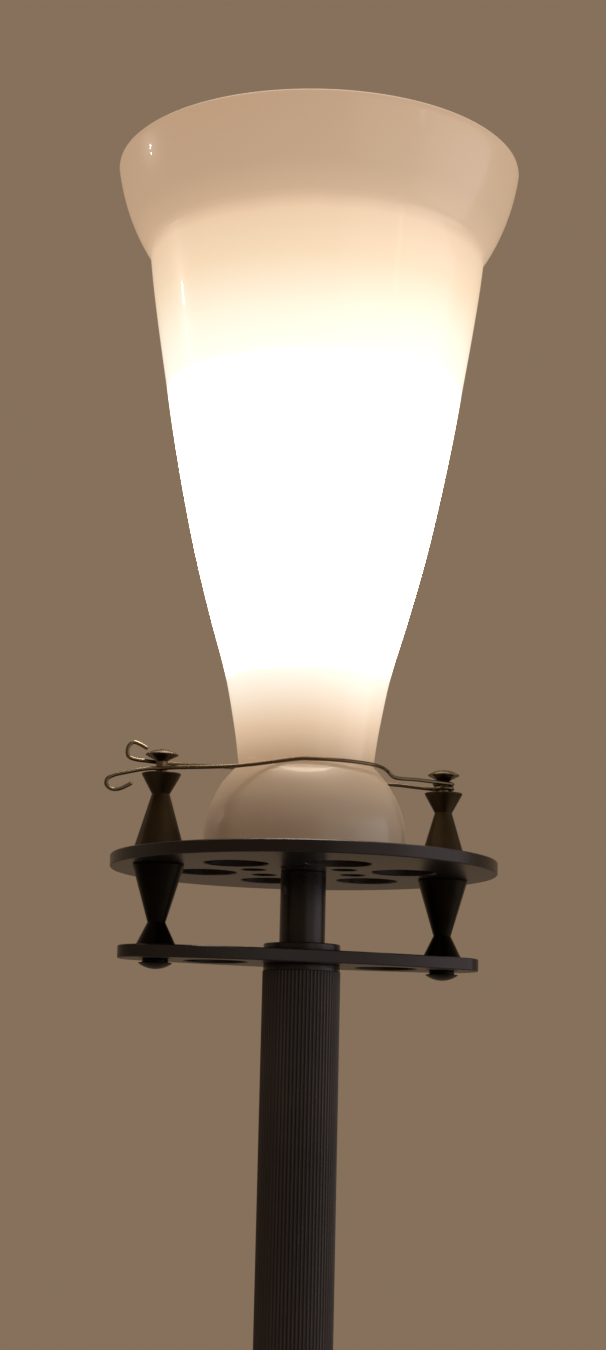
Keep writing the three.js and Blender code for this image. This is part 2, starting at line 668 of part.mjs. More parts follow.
// The inside follows the outside, one wall thickness in along the normal.
function glassInside(outside) {
  return outside.map(([radius, height], i) => {
    const before = outside[Math.max(i - 1, 0)];
    const after = outside[Math.min(i + 1, outside.length - 1)];
    const along = new THREE.Vector2(after[0] - before[0], after[1] - before[1]).normalize();
    return [radius - GLASS_WALL * along.y, height + GLASS_WALL * along.x];
  });
}

function glassShade() {
  const outside = glassOutside();
  const inside = glassInside(outside);
  inside[0] = [BELL_RADIUS - GLASS_WALL, 0];
  const rim = [RIM_RADIUS - GLASS_WALL / 2, GLASS_HEIGHT];
  const outline = [...outside, rim, ...inside.reverse(), outside[0]];
  return turned(outline.map(([radius, height]) => [radius, height + GLASS_BOTTOM]), 36);
}

function gasket() {
  const bottom = UPPER_PLATE_TOP + SEAT_GAP;
  const inner = BELL_RADIUS - GLASS_WALL - GASKET_LIP;
  return ring(inner, BELL_RADIUS + GASKET_LIP, bottom, bottom + GASKET_THICKNESS, 32);
}

// ---------------------------------------------------------------- clip

// One leg of the clip, for the front (side -1) or the back (side 1). It winds round the
// neck of the right post, kinks up to the groove under the glass neck, lies round the
// glass at its own lift, then runs on past the left post to its finger hook. The last
// stretch is a list of [x, distance beside the X axis, rise above the top of the spacer].
function clipLeg(side, coilRise, lift, lastStretch) {
  const points = [];
  const push = (x, y, rise) => points.push(new THREE.Vector3(x, side * y, SPACER_TOP + rise));

  const coilSteps = 16;
  for (let i = coilSteps; i >= 0; i -= 1) {
    const angle = Math.PI / 2 - (COIL_SWEEP * i) / coilSteps;
    push(POST_PLACE + COIL_RADIUS * Math.cos(angle), COIL_RADIUS * Math.sin(angle), coilRise);
  }

  const arcX = (angle) => CLIP_ARC_SHIFT_X + CLIP_ARC_RADIUS * Math.cos(angle);
  const arcY = (angle) => CLIP_ARC_RADIUS * Math.sin(angle) - CLIP_ARC_SHIFT_Y;
  const kinkX = arcX(CLIP_ARC_START);
  const kinkY = arcY(CLIP_ARC_START);
  push((POST_PLACE + kinkX) / 2, (COIL_RADIUS + kinkY) / 2, coilRise + lift / 2);
  const kinkTop = CLIP_KINK_LENGTH * CLIP_KINK_TOP;
  push(kinkX + CLIP_KINK_LENGTH, kinkY - CLIP_KINK_LENGTH * CLIP_KINK_LEAN, coilRise + lift);
  push(kinkX + kinkTop, kinkY - kinkTop * CLIP_KINK_LEAN, CLIP_ARC_RISE + lift - CLIP_KINK_FALL);

  const [passX, passY] = lastStretch[0];
  const toPass = Math.atan2(passY + CLIP_ARC_SHIFT_Y, passX - CLIP_ARC_SHIFT_X);
  const passDistance = Math.hypot(passY + CLIP_ARC_SHIFT_Y, passX - CLIP_ARC_SHIFT_X);
  const arcEnd = toPass - Math.acos(CLIP_ARC_RADIUS / passDistance);
  const arcSteps = 14;
  for (let i = 1; i <= arcSteps; i += 1) {
    const angle = CLIP_ARC_START + ((arcEnd - CLIP_ARC_START) * i) / arcSteps;
    push(arcX(angle), arcY(angle), CLIP_ARC_RISE + lift);
  }
  for (const [x, y, rise] of lastStretch) {
    push(x, y, rise);
  }
  const path = new THREE.CatmullRomCurve3(points, false, "centripetal");
  return sweep(path, WIRE_RADIUS, 8, 92);
}

// The front leg drops to pass low beside the left post, and its hook curls down.
function clipFrontLeg() {
  const x = -POST_PLACE;
  const y = CLIP_FRONT_PASS;
  return clipLeg(-1, UPPER_COIL_RISE, 0, [
    [x + 41.5, y + 19.9, 4.6],
    [x + 4, y + 2, 3.1],
    [x - 1.5, y, 2.5],
    [x - 8.5, y - 0.6, 2.2],
    [x - 14.5, y - 0.9, 1.2],
    [x - 24.5, y - 0.9, -1.3],
    [x - 32.3, y - 0.9, -3.6],
    [x - 36.5, y - 0.9, -6.2],
    [x - 37.2, y - 0.9, -9.6],
    [x - 34.1, y - 0.9, -12.4],
    [x - 29.1, y - 0.9, -12.2],
    [x - 20.3, y - 0.9, -7.8],
  ]);
}

// The back leg passes high, just under the cap, and its hook curls up.
function clipBackLeg() {
  const x = -POST_PLACE;
  const y = CLIP_BACK_PASS;
  const rise = CAP_NECK_LENGTH;
  return clipLeg(1, LOWER_COIL_RISE, CLIP_BACK_LIFT, [
    [x + 4.5, y + 1.9, rise - 0.5],
    [x - 1.5, y, rise - 0.6],
    [x - 8.5, y - 0.9, rise - 0.3],
    [x - 15.5, y - 1.3, rise + 0.1],
    [x - 20.1, y - 1.5, rise + 1.4],
    [x - 21.3, y - 1.5, rise + 4.2],
    [x - 20.5, y - 1.5, rise + 8.4],
    [x - 17.4, y - 1.5, rise + 11.1],
    [x - 14, y - 1.5, rise + 10.4],
    [x - 7.7, y - 1.5, rise + 7.5],
  ]);
}

// ---------------------------------------------------------------- lamp inside the glass
function heatShield() {
  const bottom = SHIELD_BOTTOM;
  return turned([
    [TIE_HOLE_RADIUS, bottom],
    [SHIELD_RADIUS - SHIELD_FLARE, bottom],
    [SHIELD_RADIUS, bottom + SHIELD_DEPTH],
    [SHIELD_RADIUS - SHIELD_THICKNESS, bottom + SHIELD_DEPTH],
    [SHIELD_RADIUS - SHIELD_FLARE - SHIELD_THICKNESS, bottom + SHIELD_THICKNESS],
    [TIE_HOLE_RADIUS, bottom + SHIELD_THICKNESS],
    [TIE_HOLE_RADIUS, bottom],
  ], 28);
}

function holderCap() {
  const bottom = HOLDER_CAP_BOTTOM;
  const top = bottom + HOLDER_CAP_HEIGHT;
  const inside = HOLDER_CAP_RADIUS - HOLDER_CAP_WALL;
  return turned([
    [TIE_HOLE_RADIUS, bottom],
    [HOLDER_CAP_RADIUS - HOLDER_CAP_CHAMFER, bottom],
    [HOLDER_CAP_RADIUS, bottom + HOLDER_CAP_CHAMFER],
    [HOLDER_CAP_RADIUS, top],
    [inside, top],
    [inside, bottom + HOLDER_CAP_WALL + HOLDER_CAP_FILLET],
    [inside - HOLDER_CAP_FILLET, bottom + HOLDER_CAP_WALL],
    [TIE_HOLE_RADIUS, bottom + HOLDER_CAP_WALL],
    [TIE_HOLE_RADIUS, bottom],
  ], 20);
}

function holderBody() {
  const socket = HOLDER_SHELL_RADIUS + SLIP_GAP;
  const body = turned([
    [0, HOLDER_BOTTOM],
    [HOLDER_RADIUS - HOLDER_CHAMFER, HOLDER_BOTTOM],
    [HOLDER_RADIUS, HOLDER_BOTTOM + HOLDER_CHAMFER],
    [HOLDER_RADIUS - HOLDER_TAPER, HOLDER_TOP],
    [socket, HOLDER_TOP],
    [socket, HOLDER_FLOOR_TOP],
    [0, HOLDER_FLOOR_TOP],
  ], 32);
  const holes = [-1, 1].map((side) => (
    at(rod(TERMINAL_HOLE_RADIUS, HOLDER_BOTTOM - 1, HOLDER_FLOOR_TOP + 1, 12), side * TERMINAL_HOLE_PLACE, 0)
  ));
  return cut(body, ...holes);
}

function bulbCap() {
  const bottom = BULB_CAP_BOTTOM;
  const inside = BULB_CAP_RADIUS - BULB_CAP_WALL;
  return turned([
    [0, bottom],
    [BULB_CAP_RADIUS - BULB_CAP_CHAMFER, bottom],
    [BULB_CAP_RADIUS, bottom + BULB_CAP_CHAMFER],
    [BULB_CAP_RADIUS, BULB_CAP_TOP],
    [inside, BULB_CAP_TOP],
    [inside, bottom + BULB_CAP_CHAMFER],
    [inside - BULB_CAP_CHAMFER + BULB_CAP_WALL, bottom + BULB_CAP_WALL],
    [0, bottom + BULB_CAP_WALL],
  ], 28);
}

// The bulb glass is open at its neck, which sits inside the screw cap.
function bulbGlass() {
  const neck = BULB_CAP_RADIUS - BULB_CAP_WALL - SLIP_GAP;
  const wall = BULB_GLASS_WALL;
  const shoulder = BULB_CAP_TOP + BULB_SHOULDER_RISE;
  const domeBase = BULB_CAP_BOTTOM + BULB_LENGTH - BULB_RADIUS;
  const skin = (inset) => {
    const points = [
      [neck - inset, BULB_NECK_BOTTOM],
      [neck - inset, BULB_CAP_TOP + BULB_NECK_LENGTH],
      [(neck + BULB_RADIUS) / 2 - inset, BULB_CAP_TOP + BULB_NECK_LENGTH + BULB_FLARE_LENGTH],
      [BULB_RADIUS - inset, shoulder],
    ];
    const domeSteps = 4;
    for (let i = 0; i <= domeSteps; i += 1) {
      const angle = (i / domeSteps) * (Math.PI / 2);
      const radius = BULB_RADIUS - inset;
      points.push([i === domeSteps ? 0 : radius * Math.cos(angle), domeBase + radius * Math.sin(angle)]);
    }
    return points;
  };
  return turned([...skin(0), ...skin(wall).reverse(), skin(0)[0]], 24);
}

function bulbStem() {
  const foot = BULB_CAP_RADIUS - BULB_CAP_WALL - 2 * SLIP_GAP - BULB_GLASS_WALL;
  const capsuleBottom = BULB_CAP_TOP + CAPSULE_RISE;
  return turned([
    [0, BULB_NECK_BOTTOM],
    [foot, BULB_NECK_BOTTOM],
    [foot, BULB_NECK_BOTTOM + BULB_STEM_FOOT],
    [BULB_STEM_RADIUS, BULB_NECK_BOTTOM + BULB_STEM_FOOT + BULB_STEM_FLARE],
    [BULB_STEM_RADIUS, capsuleBottom - CAPSULE_SHOULDER],
    [CAPSULE_RADIUS, capsuleBottom],
    [CAPSULE_RADIUS, capsuleBottom + CAPSULE_LENGTH - CAPSULE_POINT],
    [0, capsuleBottom + CAPSULE_LENGTH],
  ], 20);
}

// ---------------------------------------------------------------- put together
add("base_disc", baseDisc(), finishes.graphite);
footPlaces().forEach(([x, y], i) => {
  add(`foot_${i + 1}`, at(foot(), x, y), finishes.rubber);
});
add("cable_gland", cableGland(), finishes.rubber);
add("lead_tail", leadTail(), finishes.lead);
add("base_washer", ring(
  TIE_HOLE_RADIUS,
  BASE_WASHER_RADIUS,
  RECESS_TOP - SEAT_GAP - WASHER_THICKNESS,
  RECESS_TOP - SEAT_GAP,
), finishes.steel);
add("base_nut", hexNut(
  NUT_ACROSS_FLATS,
  TIE_RADIUS + SLIP_GAP / 2,
  BASE_NUT_BOTTOM,
  NUT_HEIGHT,
), finishes.steel);
add("base_collar", chamferedRing(
  COLUMN_RADIUS + SLIP_GAP,
  BASE_COLLAR_RADIUS,
  BASE_TOP + SEAT_GAP,
  BASE_TOP + SEAT_GAP + BASE_COLLAR_HEIGHT,
  EDGE_BREAK,
), finishes.graphite);

add("column_tube", columnTube(), finishes.graphite);
add("column_bottom_plug", columnPlug(BASE_TOP + SEAT_GAP, 1), finishes.graphite);
add("column_top_plug", columnPlug(LOWER_PLATE_BOTTOM - SEAT_GAP, -1), finishes.graphite);
add("tie_tube", ring(TIE_BORE_RADIUS, TIE_RADIUS, TIE_BOTTOM, TIE_TOP, 24), finishes.steel);
add("lead_riser", rod(LEAD_RADIUS, TIE_BOTTOM, TIE_TOP + LEAD_TAIL, 12), finishes.lead);

add("lower_plate", lowerPlate(), finishes.graphite);
add("neck_collar", chamferedRing(
  NECK_RADIUS + SLIP_GAP,
  COLLAR_RADIUS,
  LOWER_PLATE_TOP + SEAT_GAP,
  LOWER_PLATE_TOP + SEAT_GAP + COLLAR_HEIGHT,
  COLLAR_CHAMFER,
), finishes.graphite);
add("neck_tube", ring(
  NECK_RADIUS - NECK_WALL,
  NECK_RADIUS,
  LOWER_PLATE_TOP + SEAT_GAP,
  UPPER_PLATE_BOTTOM - SEAT_GAP,
  28,
), finishes.graphite);
add("upper_plate", upperPlate(), finishes.graphite);

const upperSpacer = spacer(UPPER_PLATE_TOP + SEAT_GAP, 1, UPPER_SPACER_LENGTH);
const lowerSpacer = spacer(UPPER_PLATE_BOTTOM - SEAT_GAP, -1, LOWER_SPACER_LENGTH);
for (const [sideName, side] of [["left", -1], ["right", 1]]) {
  const x = side * POST_PLACE;
  add(`upper_spacer_${sideName}`, at(upperSpacer, x, 0), finishes.bronze);
  add(`lower_spacer_${sideName}`, at(lowerSpacer, x, 0), finishes.bronze);
  add(`stud_${sideName}`, at(stud(), x, 0), finishes.steel);
  add(`top_cap_${sideName}`, at(topCap(), x, 0), finishes.polished);
  add(`bottom_cap_${sideName}`, at(bottomCap(), x, 0), finishes.bronze);
  add(`bottom_washer_${sideName}`, at(footWasher(), x, 0), finishes.bronze);
}
add("clip_front_leg", clipFrontLeg(), finishes.polished);
add("clip_back_leg", clipBackLeg(), finishes.polished);

add("glass_gasket", gasket(), finishes.rubber);
add("glass_shade", glassShade(), finishes.opal);

add("top_washer", ring(
  TIE_HOLE_RADIUS,
  TOP_WASHER_RADIUS,
  UPPER_PLATE_TOP + SEAT_GAP,
  UPPER_PLATE_TOP + SEAT_GAP + WASHER_THICKNESS,
  28,
), finishes.steel);
add("top_nut", hexNut(
  NUT_ACROSS_FLATS,
  TIE_RADIUS + SLIP_GAP / 2,
  TOP_NUT_TOP - NUT_HEIGHT,
  NUT_HEIGHT,
), finishes.steel);
add("riser_sleeve", ring(
  TIE_HOLE_RADIUS,
  RISER_RADIUS,
  TOP_NUT_TOP + SEAT_GAP,
  SHIELD_BOTTOM - SEAT_GAP,
  28,
), finishes.brass);
add("heat_shield", heatShield(), finishes.aluminium);
add("holder_cap", holderCap(), finishes.brass);
add("holder_nut", hexNut(
  NUT_ACROSS_FLATS,
  TIE_RADIUS + SLIP_GAP / 2,
  HOLDER_NUT_BOTTOM,
  HOLDER_NUT_HEIGHT,
), finishes.steel);
add("holder_body", holderBody(), finishes.porcelain);
add("holder_shell", ring(
  HOLDER_SHELL_RADIUS - HOLDER_SHELL_WALL,
  HOLDER_SHELL_RADIUS,
  CONTACT_BOTTOM,
  HOLDER_TOP - HOLDER_SHELL_DROP,
), finishes.brass);
add("holder_contact", rod(
  CONTACT_RADIUS,
  CONTACT_BOTTOM,
  CONTACT_BOTTOM + CONTACT_THICKNESS,
), finishes.brass);
add("bulb_tip", rod(
  BULB_TIP_RADIUS,
  BULB_TIP_BOTTOM,
  BULB_TIP_BOTTOM + BULB_TIP_HEIGHT,
), finishes.brass);
add("bulb_cap", bulbCap(), finishes.aluminium);
add("bulb_glass", bulbGlass(), finishes.clear);
add("bulb_stem", bulbStem(), finishes.clear);

export default lamp;
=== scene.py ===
"""Looks of a torchiere floor lamp: an opal glass on a pierced plate, held by a wire clip between posts."""
import math

import bmesh
import bpy
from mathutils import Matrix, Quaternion, Vector


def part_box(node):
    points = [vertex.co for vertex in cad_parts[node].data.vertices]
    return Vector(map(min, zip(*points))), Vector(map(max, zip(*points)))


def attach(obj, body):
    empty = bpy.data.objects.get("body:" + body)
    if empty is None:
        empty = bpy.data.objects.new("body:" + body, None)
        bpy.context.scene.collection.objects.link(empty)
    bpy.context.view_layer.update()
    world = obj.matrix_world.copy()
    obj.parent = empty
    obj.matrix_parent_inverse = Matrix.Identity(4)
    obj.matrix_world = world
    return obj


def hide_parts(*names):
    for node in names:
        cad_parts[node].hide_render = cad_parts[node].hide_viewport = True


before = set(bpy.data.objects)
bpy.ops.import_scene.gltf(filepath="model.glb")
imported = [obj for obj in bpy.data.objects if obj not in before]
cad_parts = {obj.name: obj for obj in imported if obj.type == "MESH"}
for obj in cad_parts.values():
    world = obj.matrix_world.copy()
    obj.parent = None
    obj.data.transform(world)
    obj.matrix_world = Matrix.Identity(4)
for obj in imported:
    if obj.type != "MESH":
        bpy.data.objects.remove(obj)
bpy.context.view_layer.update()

MM = 0.001
TURN = 2 * math.pi

# ------------------------------------------------------------------ sizes, in millimetres
SLIP = 0.3  # all round a pin, tube or plug in its hole
TIE_RADIUS = 5
TIE_WALL = 1.5
TIE_BORE = TIE_RADIUS + SLIP  # of everything that the tie tube goes through
STUD_RADIUS = 2.5
STUD_BORE = STUD_RADIUS + SLIP
CAP_BORE = STUD_RADIUS + SLIP / 2

BASE_CHAMFER = 2.5
EDGE_BREAK = 1  # small chamfer under the base and the feet
RECESS_RADIUS = 58
RECESS_DEPTH = 19

COLUMN_RADIUS = 25
COLUMN_WALL = 3.5
FLUTE_COUNT = 64
FLUTE_DEPTH = 0.8
FLUTE_LAND = 0.3  # share of a flute's pitch that stays uncut
FLUTE_FULLNESS = 0.8  # power of a sine, so less than 1 is fuller
PLUG_FLANGE = 4
NECK_RADIUS = 14.7
NECK_WALL = 2

PLATE_EDGE = 0.6
HOLE_COUNT = 6
LARGE_HOLE_RADIUS = 20.5
LARGE_HOLE_CIRCLE = 65
SMALL_HOLE_RADIUS = 8.25
SMALL_HOLE_CIRCLE = 34
BAR_END_RADIUS = 24
BAR_HALF_WIDTH = 37
BAR_HOLE_PLACE = 58

POST_PLACE = 97.5
SPACER_FOOT = 16.25
SPACER_WAIST = 5.7
SPACER_HEAD = 12.5
SPACER_WAIST_PLACE = 36.5
SPACER_EDGE = 0.8
CAP_RADIUS = 10.5
CAP_NECK = 3.6
CAP_FLARE = 5
CAP_CONE_HEIGHT = 2.8
CAP_EDGE = 0.5
CAP_DOME = 3.4
CAP_BORE_DEPTH = 7
FOOT_CAP_BORE_DEPTH = 2.8

GLASS_WALL = 4
BELL_RADIUS = 65.8
BELL_STRAIGHT = 10  # upright part below the dome of the bell
GLASS_NECK = 44
GLASS_NECK_FILLET = 2.2  # height of the soft corner between bell and neck
NECK_FILLET_WIDTH = 0.66
GLASS_HEIGHT = 469
STEP_DROP = 60  # from the rim down to the step under the collar
STEP_RADIUS = 113.4
COLLAR_FOOT = 114.6
COLLAR_FOOT_RISE = 1.2
COLLAR_BULGE_INSET = 5  # from the rim to the corner that shapes the collar
COLLAR_BULGE_SHARE = 0.44  # and its share of the way up the collar
RIM_RADIUS = 136.3
GASKET_LIP = 1.5
GLOW_SPAN = 500  # height that the glow's ramp covers, from the underside of the upper plate

WIRE_RADIUS = 1.25
COIL_RADIUS = 6
COIL_SWEEP = math.radians(300)
CLIP_ARC_RADIUS = 50
CLIP_ARC_SHIFT_X = 3
CLIP_ARC_SHIFT_Y = 1.4
CLIP_ARC_START = math.radians(25)  # where each leg kinks up to the glass
CLIP_ARC_RISE = 9.6  # front leg, above the top of the spacer
CLIP_BACK_LIFT = 4.4  # how much higher the back leg goes round the glass
CLIP_KINK_LENGTH = 6
CLIP_KINK_LEAN = 0.35  # how far the kink turns in, for each mm along it
CLIP_KINK_TOP = 1.5  # how far before the arc it has climbed up to it
CLIP_KINK_FALL = 0.5  # below the arc there
FRONT_COIL_RISE = 6.1
BACK_COIL_RISE = 3.1
FRONT_PASS = 5.9  # from the left post's axis to the front leg
BACK_PASS = 7.5

SHIELD_THICKNESS = 1.2
SHIELD_FLARE = 3
HOLDER_CAP_WALL = 2.4
HOLDER_CAP_CHAMFER = 3
HOLDER_CAP_FILLET = 1
HOLDER_CHAMFER = 1.5
HOLDER_TAPER = 2
HOLDER_FLOOR = 10
THREAD_PITCH = 3.6
SHELL_WALL = 0.7
SHELL_THREAD_START = 3
SHELL_THREAD_MARGIN = 1  # from the last turn to the mouth of the shell
BULB_CAP_WALL = 0.7
BULB_CAP_CHAMFER = 4
BULB_THREAD_START = 5
BULB_THREAD_MARGIN = 3
BULB_THREAD_DEPTH = 0.6
BULB_GLASS_WALL = 0.9
BULB_NECK_RADIUS = 12.2
BULB_NECK_LENGTH = 3  # above the cap
BULB_FLARE_RISE = 15  # from the cap to half of the flare
BULB_SHOULDER_RISE = 27  # from the cap to the full width
STEM_RADIUS = 4.5
STEM_FOOT_HEIGHT = 2
STEM_NECK_HEIGHT = 10
CAPSULE_RADIUS = 6.5
CAPSULE_RISE = 22  # from the cap to the foot of the capsule
CAPSULE_FLARE = 4
CAPSULE_LENGTH = 40

FLOOR_RADIUS = 9000


def mm_box(node):
    low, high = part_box(node)
    return low / MM, high / MM


UPPER_PLATE_BOTTOM = mm_box("upper_plate")[0].z
SPACER_TOP = mm_box("upper_spacer_left")[1].z
GLASS_BOTTOM = mm_box("glass_shade")[0].z


# ------------------------------------------------------------------ mesh helpers
def finish_mesh(name, mesh, body, materials, nodes=(), sharp=32):
    """Smooth shading with sharp creases kept, then the piece joins its body and stands for its CAD nodes."""
    mesh.shade_smooth()
    mesh.set_sharp_from_angle(angle=math.radians(sharp))
    piece = bpy.data.objects.new(name, mesh)
    bpy.context.scene.collection.objects.link(piece)
    for material in materials:
        mesh.materials.append(material)
    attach(piece, body)
    if nodes:
        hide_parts(*nodes)
    return piece


def arc_corner(before, corner, after, radius, steps=4):
    """Points of a round corner between two straight runs of an outline."""
    start = Vector(before) - Vector(corner)
    end = Vector(after) - Vector(corner)
    angle = start.angle(end)
    if radius <= 0 or angle > math.pi - 1e-3:
        return [tuple(corner)]
    reach = min(radius / math.tan(angle / 2), 0.49 * start.length, 0.49 * end.length)
    fitted = reach * math.tan(angle / 2)
    start.normalize()
    end.normalize()
    centre = Vector(corner) + (start + end).normalized() * (fitted / math.sin(angle / 2))
    from_angle = (Vector(corner) + start * reach) - centre
    to_angle = (Vector(corner) + end * reach) - centre
    sweep = from_angle.angle_signed(to_angle)
    points = []
    for i in range(steps + 1):
        turned_by = -sweep * i / steps
        x = from_angle.x * math.cos(turned_by) - from_angle.y * math.sin(turned_by)
        y = from_angle.x * math.sin(turned_by) + from_angle.y * math.cos(turned_by)
        points.append((centre.x + x, centre.y + y))
    return points


def softened(outline, radius, closed, steps=4):
    """The outline with each corner rounded, save those on the axis."""
    points = []
    count = len(outline)
    for i, corner in enumerate(outline):
        inside = closed or 0 < i < count - 1
        on_axis = corner[0] < 1e-6
        if inside and not on_axis:
            before = outline[i - 1]
            after = outline[(i + 1) % count]
            points.extend(arc_corner(before, corner, after, radius, steps))
        else:
            points.append(tuple(corner))
    return points


def turned_mesh(name, outline, closed, place=(0, 0), segments=96):
    """A surface turned about an upright axis, from [radius, height] pairs in millimetres."""
    mesh = bpy.data.meshes.new(name)
    build = bmesh.new()
    rings = []
    for radius, height in outline:
        if radius < 1e-6:
            rings.append([build.verts.new((place[0] * MM, place[1] * MM, height * MM))])
            continue
        ring = []
        for i in range(segments):
            angle = TURN * i / segments
            x = (place[0] + radius * math.cos(angle)) * MM
            y = (place[1] + radius * math.sin(angle)) * MM
            ring.append(build.verts.new((x, y, height * MM)))
        rings.append(ring)
    pairs = list(zip(rings, rings[1:]))
    if closed:
        pairs.append((rings[-1], rings[0]))
    for lower, upper in pairs:
        for i in range(segments):
            j = (i + 1) % segments
            corners = [
                lower[i % len(lower)],
                lower[j % len(lower)],
                upper[j % len(upper)],
                upper[i % len(upper)],
            ]
            face = list(dict.fromkeys(corners))
            if len(face) > 2:
                build.faces.new(face)
    bmesh.ops.recalc_face_normals(build, faces=build.faces)
    build.to_mesh(mesh)
    build.free()
    return mesh


def turned(
    node, outline, material, body="lamp", place=(0, 0), closed=False, round_to=0.25, segments=96
):
    """A turned piece that stands for the CAD node of the same name."""
    profile = softened(outline, round_to, closed)
    mesh = turned_mesh(node + "_fine", profile, closed, place, segments)
    return finish_mesh(node + "_fine", mesh, body, [material], [node])


def ring_piece(node, inner, material, place=(0, 0), round_to=0.3, segments=96):
    """A plain ring as tall and as wide as its CAD node."""
    low, high = mm_box(node)
    outer = (high.x - low.x) / 2
    outline = [(inner, low.z), (outer, low.z), (outer, high.z), (inner, high.z)]
    return turned(node, outline, material, "lamp", place, True, round_to, segments)


def circle(x, y, radius, count):
    angles = [TURN * i / count for i in range(count)]
    return [(x + radius * math.cos(angle), y + radius * math.sin(angle)) for angle in angles]


def plate_piece(node, outer, holes, materials):
    """A flat plate with a fine chamfer along its outline and round every hole."""
    low, high = mm_box(node)
    half = (high.z - low.z) / 2
    curve = bpy.data.curves.new(node + "_outline", "CURVE")
    curve.dimensions = "2D"
    curve.fill_mode = "BOTH"
    curve.extrude = (half - PLATE_EDGE) * MM
    curve.bevel_depth = PLATE_EDGE * MM
    curve.bevel_resolution = 0
    curve.offset = -PLATE_EDGE * MM
    for loop in [outer, *holes]:
        spline = curve.splines.new("POLY")
        spline.points.add(len(loop) - 1)
        for point, (x, y) in zip(spline.points, loop):
            point.co = (x * MM, y * MM, 0, 1)
        spline.use_cyclic_u = True
    holder = bpy.data.objects.new(node + "_outline", curve)
    bpy.context.scene.collection.objects.link(holder)
    bpy.context.view_layer.update()
    mesh = bpy.data.meshes.new_from_object(holder.evaluated_get(bpy.context.evaluated_depsgraph_get()))
    bpy.data.objects.remove(holder)
    mesh.name = node + "_fine"
    build = bmesh.new()
    build.from_mesh(mesh)
    bmesh.ops.translate(build, verts=build.verts, vec=(0, 0, (low.z + half) * MM))
    bmesh.ops.remove_doubles(build, verts=build.verts, dist=1e-6)
    bmesh.ops.recalc_face_normals(build, faces=build.faces)
    build.to_mesh(mesh)
    build.free()
    mesh.materials.clear()
    return finish_mesh(node + "_fine", mesh, "lamp", materials, [node], sharp=28)


# ------------------------------------------------------------------ material helpers
NOISE_LOW = 0.3  # nearly all of a noise's values lie between these two
NOISE_HIGH = 0.7


def new_material(name):
    material = bpy.data.materials.new(name)
    material.use_nodes = True
    tree = material.node_tree
    shader = tree.nodes["Principled BSDF"]
    return material, tree, shader


def node_at(tree, kind, **inputs):
    node = tree.nodes.new(kind)
    for key, value in inputs.items():
        node.inputs[key].default_value = value
    return node


def mapped(tree, scale):
    """Object coordinates, stretched by a scale for each axis."""
    place = tree.nodes.new("ShaderNodeTexCoord")
    mapping = tree.nodes.new("ShaderNodeMapping")
    mapping.inputs["Scale"].default_value = scale
    tree.links.new(place.outputs["Object"], mapping.inputs["Vector"])
    return mapping.outputs["Vector"]


def noise(tree, scale, detail, stretch=(1, 1, 1)):
    texture = node_at(tree, "ShaderNodeTexNoise", Scale=scale, Detail=detail)
    tree.links.new(mapped(tree, stretch), texture.inputs["Vector"])
    return texture.outputs["Fac"]


def ranged(tree, value, low, high):
    """A noise value, brought to the range from low to high."""
    node = tree.nodes.new("ShaderNodeMapRange")
    node.inputs["From Min"].default_value = NOISE_LOW
    node.inputs["From Max"].default_value = NOISE_HIGH
    node.inputs["To Min"].default_value = low
    node.inputs["To Max"].default_value = high
    tree.links.new(value, node.inputs["Value"])
    return node.outputs["Result"]


def blended(tree, value, first, second):
    """A colour between two, by a noise value."""
    share = ranged(tree, value, 0, 1)
    mix = tree.nodes.new("ShaderNodeMix")
    mix.data_type = "RGBA"
    mix.inputs["A"].default_value = (*first, 1)
    mix.inputs["B"].default_value = (*second, 1)
    tree.links.new(share, mix.inputs["Factor"])
    return mix.outputs["Result"]


def bumped(tree, shader, value, strength, distance):
    bump = node_at(tree, "ShaderNodeBump", Strength=strength, Distance=distance)
    tree.links.new(value, bump.inputs["Height"])
    tree.links.new(bump.outputs["Normal"], shader.inputs["Normal"])


def metal(name, dark, light, rough, grain_scale, bump, grain=(1, 1, 1), metallic=1.0):
    """A metal with slow colour clouds, a fine grain in the roughness and a faint grain in relief."""
    material, tree, shader = new_material(name)
    shader.inputs["Metallic"].default_value = metallic
    cloud = noise(tree, scale=14, detail=4)
    fine = noise(tree, grain_scale, detail=3, stretch=grain)
    tree.links.new(blended(tree, cloud, dark, light), shader.inputs["Base Color"])
    tree.links.new(ranged(tree, fine, rough[0], rough[1]), shader.inputs["Roughness"])
    bumped(tree, shader, fine, bump, distance=0.0002)
    return material


def turned_metal(name, dark, light, rough):
    """A lathe-turned metal: fine rings along the height in its roughness, over a mottled colour."""
    material, tree, shader = new_material(name)
    shader.inputs["Metallic"].default_value = 1.0
    mottle = noise(tree, scale=60, detail=5)
    tree.links.new(blended(tree, mottle, dark, light), shader.inputs["Base Color"])
    rings = noise(tree, scale=1.0, detail=3, stretch=(40, 40, 2600))
    tree.links.new(ranged(tree, rings, rough[0], rough[1]), shader.inputs["Roughness"])
    return material


def dielectric(name, dark, light, rough, scale, bump, distance, coat=0.0):
    """A paint, rubber, plastic or glaze with one noise in its colour, roughness and relief."""
    material, tree, shader = new_material(name)
    shader.inputs["Coat Weight"].default_value = coat
    shader.inputs["Coat Roughness"].default_value = 0.05
    cloud = noise(tree, scale, detail=6)
    tree.links.new(blended(tree, cloud, dark, light), shader.inputs["Base Color"])
    tree.links.new(ranged(tree, cloud, rough[0], rough[1]), shader.inputs["Roughness"])
    bumped(tree, shader, cloud, bump, distance)
    return material


